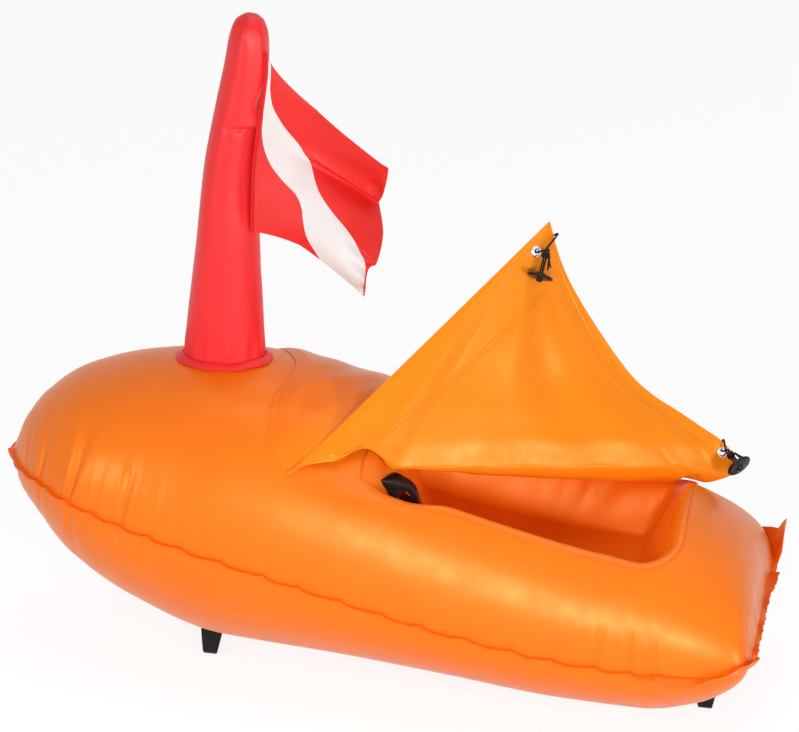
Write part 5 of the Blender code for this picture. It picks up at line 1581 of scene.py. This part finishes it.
class BuoyStageSettings(bpy.types.PropertyGroup):
    bow_power: power_setting("Bow lamp", "Power of the tall softbox off the bow", 12.0)
    front_power: power_setting("Front lamp", "Power of the low wide softbox in front", 22.0)
    stern_power: power_setting("Stern lamp", "Power of the low softbox off the stern", 15.0)
    top_power: power_setting("Top lamp", "Power of the softbox above", 13.0)
    room_light: share_setting("Room light", "Strength of the light from all round", 0.30, 1.0)
    floor_white: share_setting("Floor white", "Share of plain white in the floor", 0.72, 1.0)


def build_closures():
    for tag, (way, drop, axis) in CORNERS.items():
        build_corner(tag, way, drop, axis)


def build_fittings():
    for parts, ending, look, slot, edge in FITTINGS:
        for part in parts:
            softened_copy(part + ending, part, finish(look), edge)


class PieceMaker:
    """Runs the functions that its operator names"""

    def execute(self, context):
        for build in self.builders:
            build()
        return {'FINISHED'}


class BuoyStage(PieceMaker, bpy.types.Operator):
    """Camera at the photograph's angle, soft lamps, pale room and floor"""
    bl_idname = "buoy.stage"
    bl_label = "Stage"
    builders = (build_stage,)


class BuoyHullSkin(PieceMaker, bpy.types.Operator):
    """Inflated hull with its well and the creases off its seam"""
    bl_idname = "buoy.hull_skin"
    bl_label = "Hull skin"
    builders = (build_hull_skin,)


class BuoyWelds(PieceMaker, bpy.types.Operator):
    """Crimped seam ridge with its stern ruffles, and the bead round the well"""
    bl_idname = "buoy.welds"
    bl_label = "Seam and well bead"
    builders = (build_seam_flange, build_well_rim)


class BuoyMast(PieceMaker, bpy.types.Operator):
    """Inflated mast sleeve and the ring at its foot"""
    bl_idname = "buoy.mast"
    bl_label = "Mast"
    builders = (build_mast, build_mast_ring)


class BuoyFlag(PieceMaker, bpy.types.Operator):
    """Diver flag with its white stripe on both faces and its hoist weld"""
    bl_idname = "buoy.flag"
    bl_label = "Flag"
    builders = (build_flag,)


class BuoyCover(PieceMaker, bpy.types.Operator):
    """Cover folded up over the well, with its weld lines"""
    bl_idname = "buoy.cover"
    bl_label = "Cover"
    builders = (build_cover,)


class BuoyClosures(PieceMaker, bpy.types.Operator):
    """Eyelets, elastic loops, knots and toggles at the cover's free corners"""
    bl_idname = "buoy.closures"
    bl_label = "Eyelets and toggles"
    builders = (build_closures,)


class BuoyFittings(PieceMaker, bpy.types.Operator):
    """Tow eyes, their patches and the inflation valves"""
    bl_idname = "buoy.fittings"
    bl_label = "Tow eyes and valves"
    builders = (build_fittings,)


PIECES = (BuoyStage, BuoyClosures, BuoyCover, BuoyHullSkin, BuoyWelds, BuoyMast, BuoyFlag, BuoyFittings)
ORDER = ("stage", "cover", "closures", "hull_skin", "welds", "mast", "flag", "fittings")


class BuoyPanel(bpy.types.Panel):
    """The buoy's pieces and finishes"""
    bl_idname = "BUOY_PT_pieces"
    bl_label = "Freediving buoy"
    bl_space_type = 'VIEW_3D'
    bl_region_type = 'UI'
    bl_category = "Buoy"

    def draw(self, context):
        for piece in PIECES:
            self.layout.operator(piece.bl_idname)
        for settings in (context.scene.buoy_shape, context.scene.buoy_finishes, context.scene.buoy_stage):
            for key in settings.bl_rna.properties.keys():
                if key not in ("rna_type", "name"):
                    self.layout.prop(settings, key)


GROUPS = (("buoy_shape", BuoyShapeSettings), ("buoy_finishes", BuoyFinishSettings),
          ("buoy_stage", BuoyStageSettings))


def register():
    for key, group in GROUPS:
        bpy.utils.register_class(group)
        setattr(bpy.types.Scene, key, PointerProperty(type=group))
    for item in PIECES + (BuoyPanel,):
        bpy.utils.register_class(item)


def unregister():
    for item in (BuoyPanel,) + PIECES[::-1]:
        bpy.utils.unregister_class(item)
    for key, group in GROUPS[::-1]:
        delattr(bpy.types.Scene, key)
        bpy.utils.unregister_class(group)


def main():
    register()
    for step in ORDER:
        getattr(bpy.ops.buoy, step)()


if __name__ == "__main__":
    main()
